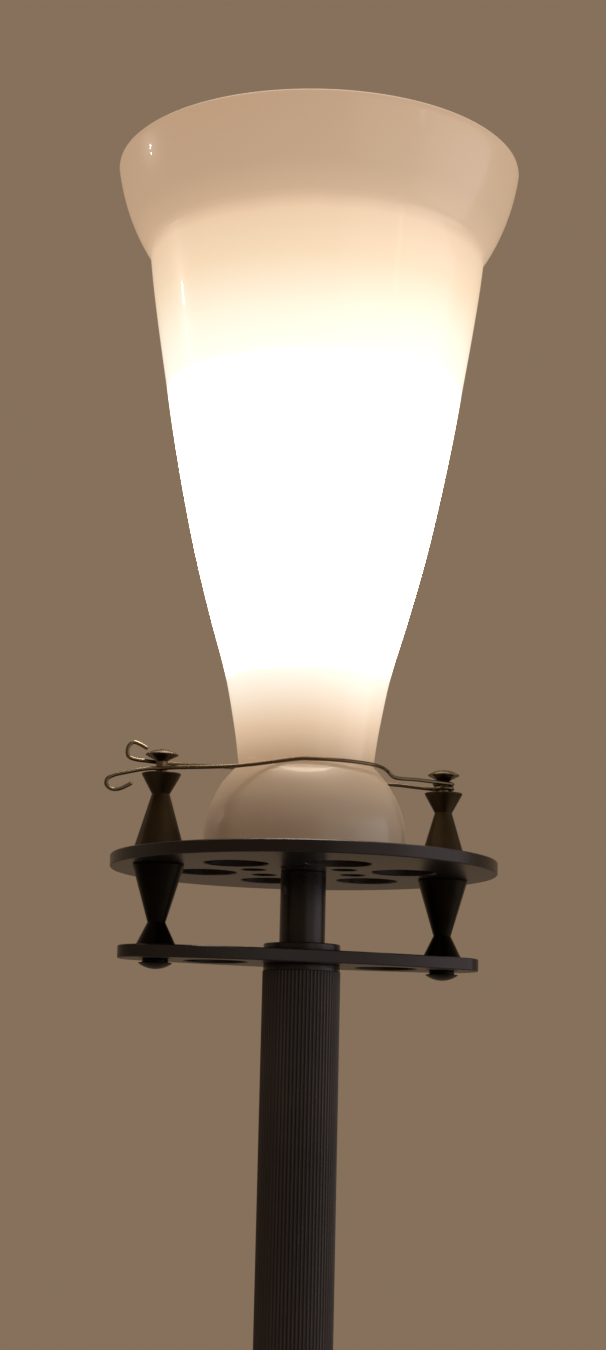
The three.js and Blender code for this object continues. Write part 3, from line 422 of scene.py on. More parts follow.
def opal_glass():
    """Blown opal glass, lit from inside: bright up the body and dim in the collar; at the bell a faint glow
    rises towards its top as painted light, a painted reflection of the bright body above.
    """
    material, tree, shader = new_material("opal_glass_lit")
    shader.inputs["Roughness"].default_value = 0.3
    shader.inputs["IOR"].default_value = 1.5
    shader.inputs["Coat Weight"].default_value = 0.35
    shader.inputs["Coat Roughness"].default_value = 0.03
    cloud = noise(tree, scale=7, detail=3)
    milk = blended(tree, cloud, (0.40, 0.355, 0.30), (0.44, 0.40, 0.345))
    tree.links.new(milk, shader.inputs["Base Color"])
    place = tree.nodes.new("ShaderNodeTexCoord")
    split = tree.nodes.new("ShaderNodeSeparateXYZ")
    tree.links.new(place.outputs["Object"], split.inputs["Vector"])
    sway = tree.nodes.new("ShaderNodeMath")
    sway.operation = "MULTIPLY_ADD"
    sway_height = 0.006
    sway.inputs[1].default_value = sway_height
    tree.links.new(noise(tree, scale=9, detail=2), sway.inputs[0])
    tree.links.new(split.outputs["Z"], sway.inputs[2])
    height = tree.nodes.new("ShaderNodeMapRange")
    height.inputs["From Min"].default_value = UPPER_PLATE_BOTTOM * MM
    height.inputs["From Max"].default_value = (UPPER_PLATE_BOTTOM + GLOW_SPAN) * MM
    tree.links.new(sway.outputs["Value"], height.inputs["Value"])
    ramp = tree.nodes.new("ShaderNodeValToRGB")
    tree.links.new(height.outputs["Result"], ramp.inputs["Fac"])
    # The stops up to 72 mm lie on the bell: there the emission is a faint glow of the glass plus painted
    # light, and its rise at 56 and 72 mm is a painted reflection of the bright body above on the bell's top.
    glow = [
        (15, (0.070, 0.042, 0.024)),
        (40, (0.080, 0.046, 0.027)),
        (56, (0.15, 0.09, 0.05)),
        (72, (0.33, 0.215, 0.125)),
        (94, (0.68, 0.50, 0.34)),
        (128, (1.05, 0.96, 0.84)),
        (170, (16.0, 14.0, 11.5)),
        (258, (16.0, 14.0, 11.5)),
        (325, (1.05, 0.99, 0.88)),
        (352, (0.97, 0.88, 0.72)),
        (384, (0.84, 0.66, 0.46)),
        (412, (0.74, 0.54, 0.37)),
        (424, (0.50, 0.345, 0.225)),
        (440, (0.43, 0.29, 0.185)),
        (480, (0.41, 0.27, 0.17)),
    ]
    stops = ramp.color_ramp.elements
    while len(stops) < len(glow):
        stops.new(0.5)
    for stop, (place_mm, colour) in zip(stops, glow):
        stop.position = place_mm / GLOW_SPAN
        stop.color = (*colour, 1)
    tree.links.new(ramp.outputs["Color"], shader.inputs["Emission Color"])
    shader.inputs["Emission Strength"].default_value = 1.0
    bumped(tree, shader, noise(tree, scale=22, detail=2), strength=0.05, distance=0.001)
    return material


def clear_glass(name, glow):
    material, tree, shader = new_material(name)
    shader.inputs["Transmission Weight"].default_value = 0.9
    shader.inputs["IOR"].default_value = 1.45
    shader.inputs["Emission Strength"].default_value = glow
    shader.inputs["Emission Color"].default_value = (1.0, 0.86, 0.66, 1)
    cloud = noise(tree, scale=40, detail=3)
    tree.links.new(blended(tree, cloud, (0.93, 0.95, 0.96), (1, 1, 1)), shader.inputs["Base Color"])
    tree.links.new(ranged(tree, cloud, 0.02, 0.05), shader.inputs["Roughness"])
    return material


GRAPHITE = metal("graphite_anodised", (0.032, 0.029, 0.030), (0.042, 0.038, 0.040), (0.26, 0.34),
                 grain_scale=1400, bump=0.03, metallic=0.8)
# A lighter copy of the graphite finish for the column: the lift in its colour is painted light, so it shows
# brighter than the same finish on the plates; its grain runs along its length.
GRAPHITE_PAINTED_LIGHT = metal("graphite_column_painted_light", (0.046, 0.041, 0.043), (0.060, 0.054, 0.057), (0.34, 0.46),
               grain_scale=1400, bump=0.12, grain=(1, 1, 0.02), metallic=0.75)
POLISHED = metal("polished_bronze", (0.15, 0.115, 0.075), (0.20, 0.155, 0.10), (0.24, 0.32),
                 grain_scale=90, bump=0.0)
STEEL = metal("zinc_steel", (0.42, 0.43, 0.44), (0.56, 0.56, 0.55), (0.25, 0.42),
              grain_scale=1800, bump=0.06)
# Blackened bronze, made darker for the parts below the lower plate: painted shade under the plates.
BRONZE_PAINTED_SHADE = turned_metal("blackened_bronze_painted_shade", (0.007, 0.0055, 0.0035), (0.012, 0.0095, 0.006), (0.30, 0.42))
# The same blackened bronze, lighter and warmer for the upper spacers: a painted sheen standing for the
# glass's glow that they mirror.
BRONZE_PAINTED_SHEEN = turned_metal("bronze_painted_sheen", (0.042, 0.030, 0.016), (0.060, 0.044, 0.024), (0.34, 0.46))
BRASS = turned_metal("satin_brass", (0.62, 0.43, 0.18), (0.74, 0.55, 0.27), (0.22, 0.36))
ALUMINIUM = turned_metal("spun_aluminium", (0.70, 0.70, 0.69), (0.82, 0.82, 0.81), (0.20, 0.34))
ENAMEL = dielectric("base_enamel", (0.026, 0.021, 0.020), (0.036, 0.030, 0.028), (0.34, 0.46),
                    scale=700, bump=0.25, distance=0.0001)
RUBBER = dielectric("black_rubber", (0.012, 0.012, 0.012), (0.022, 0.021, 0.020), (0.6, 0.85),
                    scale=420, bump=0.3, distance=0.0003)
PORCELAIN = dielectric("glazed_porcelain", (0.80, 0.785, 0.74), (0.86, 0.85, 0.81), (0.10, 0.18),
                       scale=40, bump=0.05, distance=0.0004, coat=0.5)
SLEEVE = dielectric("lead_sleeve", (0.025, 0.024, 0.023), (0.04, 0.038, 0.036), (0.5, 0.7),
                    scale=300, bump=0.2, distance=0.0002)
OPAL = opal_glass()
BULB_GLASS = clear_glass("bulb_glass_clear", glow=0.6)
CAPSULE = clear_glass("bulb_capsule_lit", glow=14.0)


# ------------------------------------------------------------------ glass shade
def catmull_rom(points, steps):
    """A smooth line through the points, even in each span."""
    padded = [points[0], *points, points[-1]]
    result = []
    for a, b, c, d in zip(padded, padded[1:], padded[2:], padded[3:]):
        for i in range(steps):
            t = i / steps
            result.append(tuple(
                0.5 * (2 * q + (r - p) * t + (2 * p - 5 * q + 4 * r - s) * t**2
                       + (3 * q - p - 3 * r + s) * t**3)
                for p, q, r, s in zip(a, b, c, d)
            ))
    result.append(tuple(points[-1]))
    return result


def glass_outside():
    """The glass from its foot up: bell, soft corner, neck and flared body, step, collar."""
    neck_angle = math.acos((GLASS_NECK + NECK_FILLET_WIDTH) / BELL_RADIUS)
    points = [(BELL_RADIUS, 0), (BELL_RADIUS, 0.5 * BELL_STRAIGHT)]
    dome_steps = 28
    for i in range(dome_steps + 1):
        angle = neck_angle * i / dome_steps
        points.append((BELL_RADIUS * math.cos(angle), BELL_STRAIGHT + BELL_RADIUS * math.sin(angle)))
    neck_foot = BELL_STRAIGHT + BELL_RADIUS * math.sin(neck_angle) + GLASS_NECK_FILLET
    step_height = GLASS_HEIGHT - STEP_DROP
    body_rise = step_height - neck_foot
    body_flare = STEP_RADIUS - GLASS_NECK
    body_shares = [  # of the rise and of the flare
        (0, 0), (0.07, 0.05), (0.175, 0.155), (0.28, 0.305), (0.42, 0.49),
        (0.595, 0.675), (0.77, 0.83), (0.91, 0.942), (1, 1),
    ]
    knots = [(GLASS_NECK + body_flare * out, neck_foot + body_rise * up) for up, out in body_shares]
    points.extend(catmull_rom(knots, 7))
    start = Vector((COLLAR_FOOT, step_height + COLLAR_FOOT_RISE))
    bulge = Vector((RIM_RADIUS - COLLAR_BULGE_INSET, step_height + COLLAR_BULGE_SHARE * STEP_DROP))
    end = Vector((RIM_RADIUS, GLASS_HEIGHT - GLASS_WALL / 2))
    collar_steps = 22
    for i in range(collar_steps + 1):
        t = i / collar_steps
        point = start * (1 - t) ** 2 + bulge * 2 * t * (1 - t) + end * t**2
        points.append((point.x, point.y))
    return points


def inset_outline(outline, wall):
    """The outline moved one wall inwards, square to itself at each point."""
    result = []
    for i, (radius, height) in enumerate(outline):
        before = outline[max(i - 1, 0)]
        after = outline[min(i + 1, len(outline) - 1)]
        along = Vector((after[0] - before[0], after[1] - before[1])).normalized()
        result.append((radius - wall * along.y, height + wall * along.x))
    return result


def glass_shade():
    outside = glass_outside()
    inside = inset_outline(outside, GLASS_WALL)
    inside[0] = (BELL_RADIUS - GLASS_WALL, 0)
    lip = []
    lip_steps = 6
    for i in range(1, lip_steps):
        angle = math.pi * i / lip_steps
        lip.append((
            RIM_RADIUS - GLASS_WALL / 2 * (1 - math.cos(angle)),
            GLASS_HEIGHT - GLASS_WALL / 2 * (1 - math.sin(angle)),
        ))
    outline = [*outside, *lip, *reversed(inside)]
    lifted = [(radius, height + GLASS_BOTTOM) for radius, height in outline]
    mesh = turned_mesh("glass_shade_fine", lifted, True, segments=160)
    finish_mesh("glass_shade_fine", mesh, "lamp", [OPAL], ["glass_shade"], sharp=50)


# ------------------------------------------------------------------ posts
def dome(radius, height, base, direction):
    """A shallow part of a sphere, from its edge to the axis."""
    steps = 14
    sphere = (radius**2 + height**2) / (2 * height)
    points = []
    for i in range(steps + 1):
        r = radius * (1 - i / steps)
        fall = sphere - math.sqrt(sphere**2 - r**2)
        points.append((r, base + direction * (height - fall)))
    return points


def spacer(node, place, direction, material):
    """A double cone whose wide foot stands against the upper plate."""
    low, high = mm_box(node)
    foot = low.z if direction > 0 else high.z
    head = high.z if direction > 0 else low.z
    outline = [
        (STUD_BORE, foot),
        (SPACER_FOOT, foot),
        (SPACER_FOOT, foot + direction * SPACER_EDGE),
        (SPACER_WAIST, foot + direction * SPACER_WAIST_PLACE),
        (SPACER_HEAD, head - direction * SPACER_EDGE),
        (SPACER_HEAD, head),
        (STUD_BORE, head),
    ]
    turned(node, outline, material, place=place, closed=True, round_to=0.22)


def top_cap(node, place):
    low, high = mm_box(node)
    cone_top = high.z - CAP_DOME - CAP_EDGE
    neck_top = cone_top - CAP_CONE_HEIGHT
    stem = [
        (0, low.z + CAP_BORE_DEPTH),
        (CAP_BORE, low.z + CAP_BORE_DEPTH),
        (CAP_BORE, low.z),
        (CAP_NECK, low.z),
        (CAP_NECK, neck_top - (CAP_FLARE - CAP_NECK)),
        (CAP_FLARE, neck_top),
        (CAP_RADIUS, cone_top),
    ]
    outline = softened([*stem, (CAP_RADIUS, cone_top + CAP_EDGE)], 0.2, False)
    outline = [*outline[:-1], *dome(CAP_RADIUS, CAP_DOME, cone_top + CAP_EDGE, 1)]
    mesh = turned_mesh(node + "_fine", outline, False, place, 72)
    finish_mesh(node + "_fine", mesh, "lamp", [POLISHED], [node], sharp=40)


def bottom_cap(node, place):
    top = mm_box(node)[1].z
    outline = [
        *reversed(dome(CAP_RADIUS, CAP_DOME, top - CAP_EDGE, -1)),
        (CAP_RADIUS, top),
        (CAP_BORE, top),
        (CAP_BORE, top - FOOT_CAP_BORE_DEPTH),
        (0, top - FOOT_CAP_BORE_DEPTH),
    ]
    mesh = turned_mesh(node + "_fine", outline, False, place, 72)
    # The darker bronze here is painted shade below the lower plate.
    finish_mesh(node + "_fine", mesh, "lamp", [BRONZE_PAINTED_SHADE], [node], sharp=40)


def posts():
    for side_name, side in (("left", -1), ("right", 1)):
        place = (side * POST_PLACE, 0)
        # The upper spacers take the lighter bronze, a painted sheen of the glass's glow. The lower spacer,
        # bottom cap and washer take the darker one, painted shade below the plates.
        spacer(f"upper_spacer_{side_name}", place, 1, BRONZE_PAINTED_SHEEN)
        spacer(f"lower_spacer_{side_name}", place, -1, BRONZE_PAINTED_SHADE)
        top_cap(f"top_cap_{side_name}", place)
        bottom_cap(f"bottom_cap_{side_name}", place)
        washer = f"bottom_washer_{side_name}"
        ring_piece(washer, STUD_BORE, BRONZE_PAINTED_SHADE, place, round_to=0.25, segments=72)
        low, high = mm_box(f"stud_{side_name}")
        rod = [(0, low.z), (STUD_RADIUS, low.z), (STUD_RADIUS, high.z), (0, high.z)]
        turned(f"stud_{side_name}", rod, STEEL, place=place, round_to=0.3, segments=32)


# ------------------------------------------------------------------ plates and column
def upper_plate():
    low, high = mm_box("upper_plate")
    outer = circle(0, 0, (high.x - low.x) / 2, 200)
    holes = [circle(0, 0, TIE_BORE, 32)]
    for i in range(HOLE_COUNT):
        large = TURN * (i + 0.5) / HOLE_COUNT
        x = LARGE_HOLE_CIRCLE * math.cos(large)
        y = LARGE_HOLE_CIRCLE * math.sin(large)
        holes.append(circle(x, y, LARGE_HOLE_RADIUS, 72))
        small = TURN * i / HOLE_COUNT
        x = SMALL_HOLE_CIRCLE * math.cos(small)
        y = SMALL_HOLE_CIRCLE * math.sin(small)
        holes.append(circle(x, y, SMALL_HOLE_RADIUS, 40))
    for side in (-1, 1):
        holes.append(circle(side * POST_PLACE, 0, STUD_BORE, 24))
    plate_piece("upper_plate", outer, holes, [GRAPHITE])


def lower_plate():
    """A long bar: an arc round each post, joined by two wide arcs that swell beside the column."""
    rise = BAR_HALF_WIDTH - BAR_END_RADIUS
    offset = (POST_PLACE**2 - rise**2) / (2 * rise)
    side_radius = offset + BAR_HALF_WIDTH
    lean = math.atan2(POST_PLACE, offset)

    def arc(x, y, radius, start, end, steps):
        return [
            (x + radius * math.cos(start + (end - start) * i / steps),
             y + radius * math.sin(start + (end - start) * i / steps))
            for i in range(steps)
        ]

    up = math.pi / 2
    outer = [
        *arc(POST_PLACE, 0, BAR_END_RADIUS, lean - up, up - lean, 36),
        *arc(0, -offset, side_radius, up - lean, up + lean, 48),
        *arc(-POST_PLACE, 0, BAR_END_RADIUS, up + lean, 3 * up - lean, 36),
        *arc(0, offset, side_radius, 3 * up - lean, 3 * up + lean, 48),
    ]
    holes = [circle(0, 0, TIE_BORE, 32)]
    for side in (-1, 1):
        holes.append(circle(side * POST_PLACE, 0, STUD_BORE, 24))
        holes.append(circle(side * BAR_HOLE_PLACE, 0, LARGE_HOLE_RADIUS, 72))
    plate_piece("lower_plate", outer, holes, [GRAPHITE])


def column():
    """The fluted tube: each flute is a smooth hollow between two narrow lands."""
    low, high = mm_box("column_tube")
    outer_radius = (high.x - low.x) / 2
    steps = 10
    loop = []
    for i in range(FLUTE_COUNT * steps):
        across = ((i % steps) / steps - FLUTE_LAND) / (1 - FLUTE_LAND)
        depth = FLUTE_DEPTH * math.sin(TURN / 2 * across) ** FLUTE_FULLNESS if across > 0 else 0.0
        angle = TURN * i / (FLUTE_COUNT * steps)
        loop.append((outer_radius - depth, angle))
    build = bmesh.new()
    rings = []
    inner = outer_radius - COLUMN_WALL
    for height, bore in ((low.z, None), (low.z, inner), (high.z, inner), (high.z, None)):
        rings.append([
            build.verts.new((
                (bore or radius) * math.cos(angle) * MM,
                (bore or radius) * math.sin(angle) * MM,
                height * MM,
            ))
            for radius, angle in loop
        ])
    for a, b in ((0, 1), (1, 2), (2, 3), (3, 0)):
        for i in range(len(loop)):
            j = (i + 1) % len(loop)
            build.faces.new((rings[a][i], rings[a][j], rings[b][j], rings[b][i]))
    bmesh.ops.recalc_face_normals(build, faces=build.faces)
    mesh = bpy.data.meshes.new("column_tube_fine")
    build.to_mesh(mesh)
    build.free()
    finish_mesh("column_tube_fine", mesh, "lamp", [GRAPHITE_PAINTED_LIGHT], ["column_tube"], sharp=60)


def plug(node, direction):
    low, high = mm_box(node)
    face = low.z if direction > 0 else high.z
    end = high.z if direction > 0 else low.z
    flange = (high.x - low.x) / 2
    shank = COLUMN_RADIUS - COLUMN_WALL - SLIP
    outline = [
        (TIE_BORE, face),
        (flange, face),
        (flange, face + direction * PLUG_FLANGE),
        (shank, face + direction * PLUG_FLANGE),
        (shank, end),
        (TIE_BORE, end),
    ]
    turned(node, outline, GRAPHITE, closed=True, round_to=0.3, segments=120)


def stem():
    column()
    plug("column_bottom_plug", 1)
    plug("column_top_plug", -1)
    for node, bore, round_to in (
        ("neck_tube", NECK_RADIUS - NECK_WALL, 0.3),
        ("neck_collar", NECK_RADIUS + SLIP, 0.7),
        ("base_collar", COLUMN_RADIUS + SLIP, 1.2),
    ):
        ring_piece(node, bore, GRAPHITE, round_to=round_to, segments=128)
    ring_piece("tie_tube", TIE_RADIUS - TIE_WALL, STEEL, segments=48)


# ------------------------------------------------------------------ wire clip
def wire_line(points, steps):
    """A smooth line through unevenly spaced points in space, which doesn't swing out between them."""
    line = [Vector(point) for point in points]
    padded = [2 * line[0] - line[1], *line, 2 * line[-1] - line[-2]]
    result = []
    for a, b, c, d in zip(padded, padded[1:], padded[2:], padded[3:]):
        t_b = math.sqrt((b - a).length)
        t_c = t_b + math.sqrt((c - b).length)
        t_d = t_c + math.sqrt((d - c).length)
        for i in range(steps):
            t = t_b + (t_c - t_b) * i / steps
            ab = a.lerp(b, t / t_b)
            bc = b.lerp(c, (t - t_b) / (t_c - t_b))
            cd = c.lerp(d, (t - t_c) / (t_d - t_c))
            abc = ab.lerp(bc, t / t_c)
            bcd = bc.lerp(cd, (t - t_b) / (t_d - t_b))
            result.append(abc.lerp(bcd, (t - t_b) / (t_c - t_b)))
    result.append(line[-1])
    return result


def wire_piece(node, body, points):
    """A round wire along the points, with smooth bends and rounded ends."""
    line = wire_line(points, 8)
    curve = bpy.data.curves.new(node + "_path", "CURVE")
    curve.dimensions = "3D"
    curve.bevel_depth = WIRE_RADIUS * MM
    curve.bevel_resolution = 7
    curve.use_fill_caps = True
    start_way = (line[0] - line[1]).normalized()
    end_way = (line[-1] - line[-2]).normalized()
    # how far along a rounded end, and the share of the wire's radius there
    ends = [(0.0, 1.0), (0.45, 0.93), (0.85, 0.73), (1.1, 0.45), (WIRE_RADIUS, 0.05)]
    head = [(line[0] + start_way * (step - WIRE_RADIUS), size) for step, size in reversed(ends)]
    tail = [(line[-1] + end_way * (step - WIRE_RADIUS), size) for step, size in ends]
    stations = [*head, *[(point, 1.0) for point in line[2:-2]], *tail]
    spline = curve.splines.new("POLY")
    spline.points.add(len(stations) - 1)
    for target, (point, size) in zip(spline.points, stations):
        target.co = (*(point * MM), 1)
        target.radius = size
    holder = bpy.data.objects.new(node + "_path", curve)
    bpy.context.scene.collection.objects.link(holder)
    bpy.context.view_layer.update()
    mesh = bpy.data.meshes.new_from_object(holder.evaluated_get(bpy.context.evaluated_depsgraph_get()))
    bpy.data.objects.remove(holder)
    mesh.name = node + "_fine"
    mesh.materials.clear()
    finish_mesh(node + "_fine", mesh, body, [POLISHED], [node], sharp=60)


def clip_points(side, coil_rise, lift, last_stretch):
    """The middle of a leg, in millimetres: coil, kink, arc round the glass, run past the left post."""
    points = []

    def push(x, y, up):
        points.append((x, side * y, SPACER_TOP + up))

    coil_steps = 16
    for i in range(coil_steps, -1, -1):
        angle = math.pi / 2 - COIL_SWEEP * i / coil_steps
        push(POST_PLACE + COIL_RADIUS * math.cos(angle), COIL_RADIUS * math.sin(angle), coil_rise)
    kink_x = CLIP_ARC_SHIFT_X + CLIP_ARC_RADIUS * math.cos(CLIP_ARC_START)
    kink_y = CLIP_ARC_RADIUS * math.sin(CLIP_ARC_START) - CLIP_ARC_SHIFT_Y
    rise = CLIP_ARC_RISE + lift
    push((POST_PLACE + kink_x) / 2, (COIL_RADIUS + kink_y) / 2, coil_rise + lift / 2)
    push(kink_x + CLIP_KINK_LENGTH, kink_y - CLIP_KINK_LEAN * CLIP_KINK_LENGTH, coil_rise + lift)
    push(kink_x + CLIP_KINK_TOP, kink_y - CLIP_KINK_LEAN * CLIP_KINK_TOP, rise - CLIP_KINK_FALL)
    pass_x, pass_y = last_stretch[0][:2]
    from_centre_x = pass_x - CLIP_ARC_SHIFT_X
    from_centre_y = pass_y + CLIP_ARC_SHIFT_Y
    way = math.atan2(from_centre_y, from_centre_x)
    end = way - math.acos(CLIP_ARC_RADIUS / math.hypot(from_centre_y, from_centre_x))
    arc_steps = 14
    for i in range(1, arc_steps + 1):
        angle = CLIP_ARC_START + (end - CLIP_ARC_START) * i / arc_steps
        x = CLIP_ARC_SHIFT_X + CLIP_ARC_RADIUS * math.cos(angle)
        y = CLIP_ARC_RADIUS * math.sin(angle) - CLIP_ARC_SHIFT_Y
        push(x, y, rise)
    for x, y, up in last_stretch:
        push(x, y, up)
    return points


def clip():
    x = -POST_PLACE
    y = FRONT_PASS
    wire_piece("clip_front_leg", "clip_front", clip_points(-1, FRONT_COIL_RISE, 0, [
        (x + 41.5, y + 19.9, 4.6), (x + 4, y + 2, 3.1), (x - 1.5, y, 2.5), (x - 8.5, y - 0.6, 2.2),
        (x - 14.5, y - 0.9, 1.2), (x - 24.5, y - 0.9, -1.3), (x - 32.3, y - 0.9, -3.6),
        (x - 36.5, y - 0.9, -6.2), (x - 37.2, y - 0.9, -9.6), (x - 34.1, y - 0.9, -12.4),
        (x - 29.1, y - 0.9, -12.2), (x - 20.3, y - 0.9, -7.8),
    ]))
    y = BACK_PASS
    wire_piece("clip_back_leg", "clip_back", clip_points(1, BACK_COIL_RISE, CLIP_BACK_LIFT, [
        (x + 4.5, y + 1.9, 8.3), (x - 1.5, y, 8.2), (x - 8.5, y - 0.9, 8.5), (x - 15.5, y - 1.3, 8.9),
        (x - 20.1, y - 1.5, 10.2), (x - 21.3, y - 1.5, 13), (x - 20.5, y - 1.5, 17.2),
        (x - 17.4, y - 1.5, 19.9), (x - 14, y - 1.5, 19.2), (x - 7.7, y - 1.5, 16.3),
    ]))


# ------------------------------------------------------------------ base
def base():
    """The heavy disc, with a recess underneath and a groove for the gland."""
    low, high = mm_box("base_disc")
    radius = high.x
    outline = [
        (TIE_BORE, high.z),
        (radius - BASE_CHAMFER, high.z),
        (radius, high.z - BASE_CHAMFER),
        (radius, low.z + EDGE_BREAK),
        (radius - EDGE_BREAK, low.z),
        (RECESS_RADIUS, low.z),
        (RECESS_RADIUS, low.z + RECESS_DEPTH),
        (TIE_BORE, low.z + RECESS_DEPTH),
    ]
    mesh = turned_mesh("base_disc_fine", softened(outline, 0.9, True, 5), True, segments=192)
    piece = finish_mesh("base_disc_fine", mesh, "lamp", [ENAMEL], ["base_disc"], sharp=40)
    gland_high = mm_box("cable_gland")[1]
    width = 2 * (gland_high.x + SLIP)
    top = gland_high.z + SLIP
    middle = (RECESS_RADIUS + radius) / 2
    build = bmesh.new()
    bmesh.ops.create_cube(build, size=1)
    bmesh.ops.scale(build, verts=build.verts, vec=(width * MM, radius * MM, top * MM))
    bmesh.ops.translate(build, verts=build.verts, vec=(0, middle * MM, top / 2 * MM))
    cutter_mesh = bpy.data.meshes.new("groove")
    build.to_mesh(cutter_mesh)
    build.free()
    cutter = bpy.data.objects.new("groove", cutter_mesh)
    bpy.context.scene.collection.objects.link(cutter)
    groove = piece.modifiers.new("groove", "BOOLEAN")
    groove.object = cutter
    groove.solver = "EXACT"
    bpy.context.view_layer.update()
    cut_mesh = bpy.data.meshes.new_from_object(piece.evaluated_get(bpy.context.evaluated_depsgraph_get()))
    piece.modifiers.clear()
    piece.data = cut_mesh
    bpy.data.objects.remove(cutter)


def feet():
    for number in range(1, 5):
        node = f"foot_{number}"
        low, high = mm_box(node)
        place = ((low.x + high.x) / 2, (low.y + high.y) / 2)
        radius = (high.x - low.x) / 2
        outline = [
            (0, low.z),
            (radius - EDGE_BREAK, low.z),
            (radius, low.z + EDGE_BREAK),
            (radius, high.z),
            (0, high.z),
        ]
        turned(node, outline, RUBBER, place=place, round_to=0.5, segments=64)


# ------------------------------------------------------------------ lamp inside the glass
def waved_wall(radius, bottom, top, depth, direction=1):
    """The side of a screw thread seen as rings: a wavy wall between two heights."""
    steps = round((top - bottom) / THREAD_PITCH * 8)
    points = []
    for i in range(steps + 1):
        height = bottom + (top - bottom) * i / steps
        ripple = depth * (0.5 - 0.5 * math.cos(TURN * (height - bottom) / THREAD_PITCH))
        points.append((radius - ripple, height))
    return points if direction > 0 else points[::-1]


def inner_lamp():
    gasket_bore = BELL_RADIUS - GLASS_WALL - GASKET_LIP
    ring_piece("glass_gasket", gasket_bore, RUBBER, round_to=0.4, segments=144)
    ring_piece("top_washer", TIE_BORE, STEEL, segments=64)
    ring_piece("base_washer", TIE_BORE, STEEL, segments=64)
    ring_piece("riser_sleeve", TIE_BORE, BRASS, round_to=0.6, segments=72)
    heat_shield()
    holder()


def heat_shield():
    low, high = mm_box("heat_shield")
    rim = high.x
    outline = [
        (TIE_BORE, low.z),
        (rim - SHIELD_FLARE, low.z),
        (rim, high.z),
        (rim - SHIELD_THICKNESS, high.z),
        (rim - SHIELD_FLARE - SHIELD_THICKNESS, low.z + SHIELD_THICKNESS),
        (TIE_BORE, low.z + SHIELD_THICKNESS),
    ]
    turned("heat_shield", outline, ALUMINIUM, closed=True, round_to=0.5, segments=128)


def holder():
    low, high = mm_box("holder_cap")
    side = high.x
    inside = side - HOLDER_CAP_WALL
    floor = low.z + HOLDER_CAP_WALL
    outline = [
        (TIE_BORE, low.z),
        (side - HOLDER_CAP_CHAMFER, low.z),
        (side, low.z + HOLDER_CAP_CHAMFER),
        (side, high.z),
        (inside, high.z),
        (inside, floor + HOLDER_CAP_FILLET),
        (inside - HOLDER_CAP_FILLET, floor),
        (TIE_BORE, floor),
    ]
    turned("holder_cap", outline, BRASS, closed=True, round_to=0.9)

    shell_low, shell_high = mm_box("holder_shell")
    low, high = mm_box("holder_body")
    side = high.x
    socket = shell_high.x + SLIP
    outline = [
        (0, low.z),
        (side - HOLDER_CHAMFER, low.z),
        (side, low.z + HOLDER_CHAMFER),
        (side - HOLDER_TAPER, high.z),
        (socket, high.z),
        (socket, low.z + HOLDER_FLOOR),
        (0, low.z + HOLDER_FLOOR),
    ]
    turned("holder_body", outline, PORCELAIN, round_to=1.1)

    radius = shell_high.x
    bottom = shell_low.z + SHELL_THREAD_START
    top = shell_high.z - SHELL_THREAD_MARGIN
    outline = [
        (radius, shell_low.z),
        *waved_wall(radius, bottom, top, depth=0.35),
        (radius, shell_high.z),
        (radius - SHELL_WALL, shell_high.z),
        *waved_wall(radius - 0.5, bottom, top, depth=0.3, direction=-1),
        (radius - SHELL_WALL, shell_low.z),
    ]
    turned("holder_shell", outline, BRASS, closed=True, round_to=0.05)


def bulb():
    low, high = mm_box("bulb_cap")
    cap_top = high.z
    side = high.x
    inside = side - BULB_CAP_WALL
    outline = [
        (0, low.z),
        (side - BULB_CAP_CHAMFER, low.z),
        (side, low.z + BULB_CAP_CHAMFER),
        *waved_wall(side, low.z + BULB_THREAD_START, cap_top - BULB_THREAD_MARGIN, BULB_THREAD_DEPTH),
        (side, cap_top),
        (inside, cap_top),
        (inside - BULB_THREAD_DEPTH, low.z + BULB_CAP_CHAMFER),
        (inside - 3.6, low.z + BULB_CAP_WALL),
        (0, low.z + BULB_CAP_WALL),
    ]
    turned("bulb_cap", outline, ALUMINIUM, "bulb", round_to=0.15)

    low, high = mm_box("bulb_glass")
    radius = high.x
    knots = [
        (BULB_NECK_RADIUS, low.z),
        (BULB_NECK_RADIUS, cap_top + BULB_NECK_LENGTH),
        ((BULB_NECK_RADIUS + radius) / 2, cap_top + BULB_FLARE_RISE),
        (radius, cap_top + BULB_SHOULDER_RISE),
    ]
    side_curve = catmull_rom(knots, 8)
    dome_base = high.z - radius
    arc_steps = 20
    arc = []
    for i in range(arc_steps + 1):
        angle = TURN / 4 * i / arc_steps
        arc.append((radius * math.cos(angle), dome_base + radius * math.sin(angle)))
    outside = [*side_curve, *arc[:-1], (0, high.z)]
    skin = [*outside, *reversed(inner_skin(side_curve, arc, BULB_GLASS_WALL, high.z))]
    mesh = turned_mesh("bulb_glass_fine", [*skin, outside[0]], False, segments=96)
    finish_mesh("bulb_glass_fine", mesh, "bulb", [BULB_GLASS], ["bulb_glass"], sharp=50)

    low, high = mm_box("bulb_stem")
    capsule_bottom = cap_top + CAPSULE_RISE
    outline = [
        (0, low.z),
        (high.x, low.z),
        (high.x, low.z + STEM_FOOT_HEIGHT),
        (STEM_RADIUS, low.z + STEM_NECK_HEIGHT),
        (STEM_RADIUS, capsule_bottom - CAPSULE_FLARE),
        (CAPSULE_RADIUS, capsule_bottom),
        (CAPSULE_RADIUS, capsule_bottom + CAPSULE_LENGTH),
        (0, high.z),
    ]
    turned("bulb_stem", outline, CAPSULE, "bulb", round_to=2.4, segments=64)


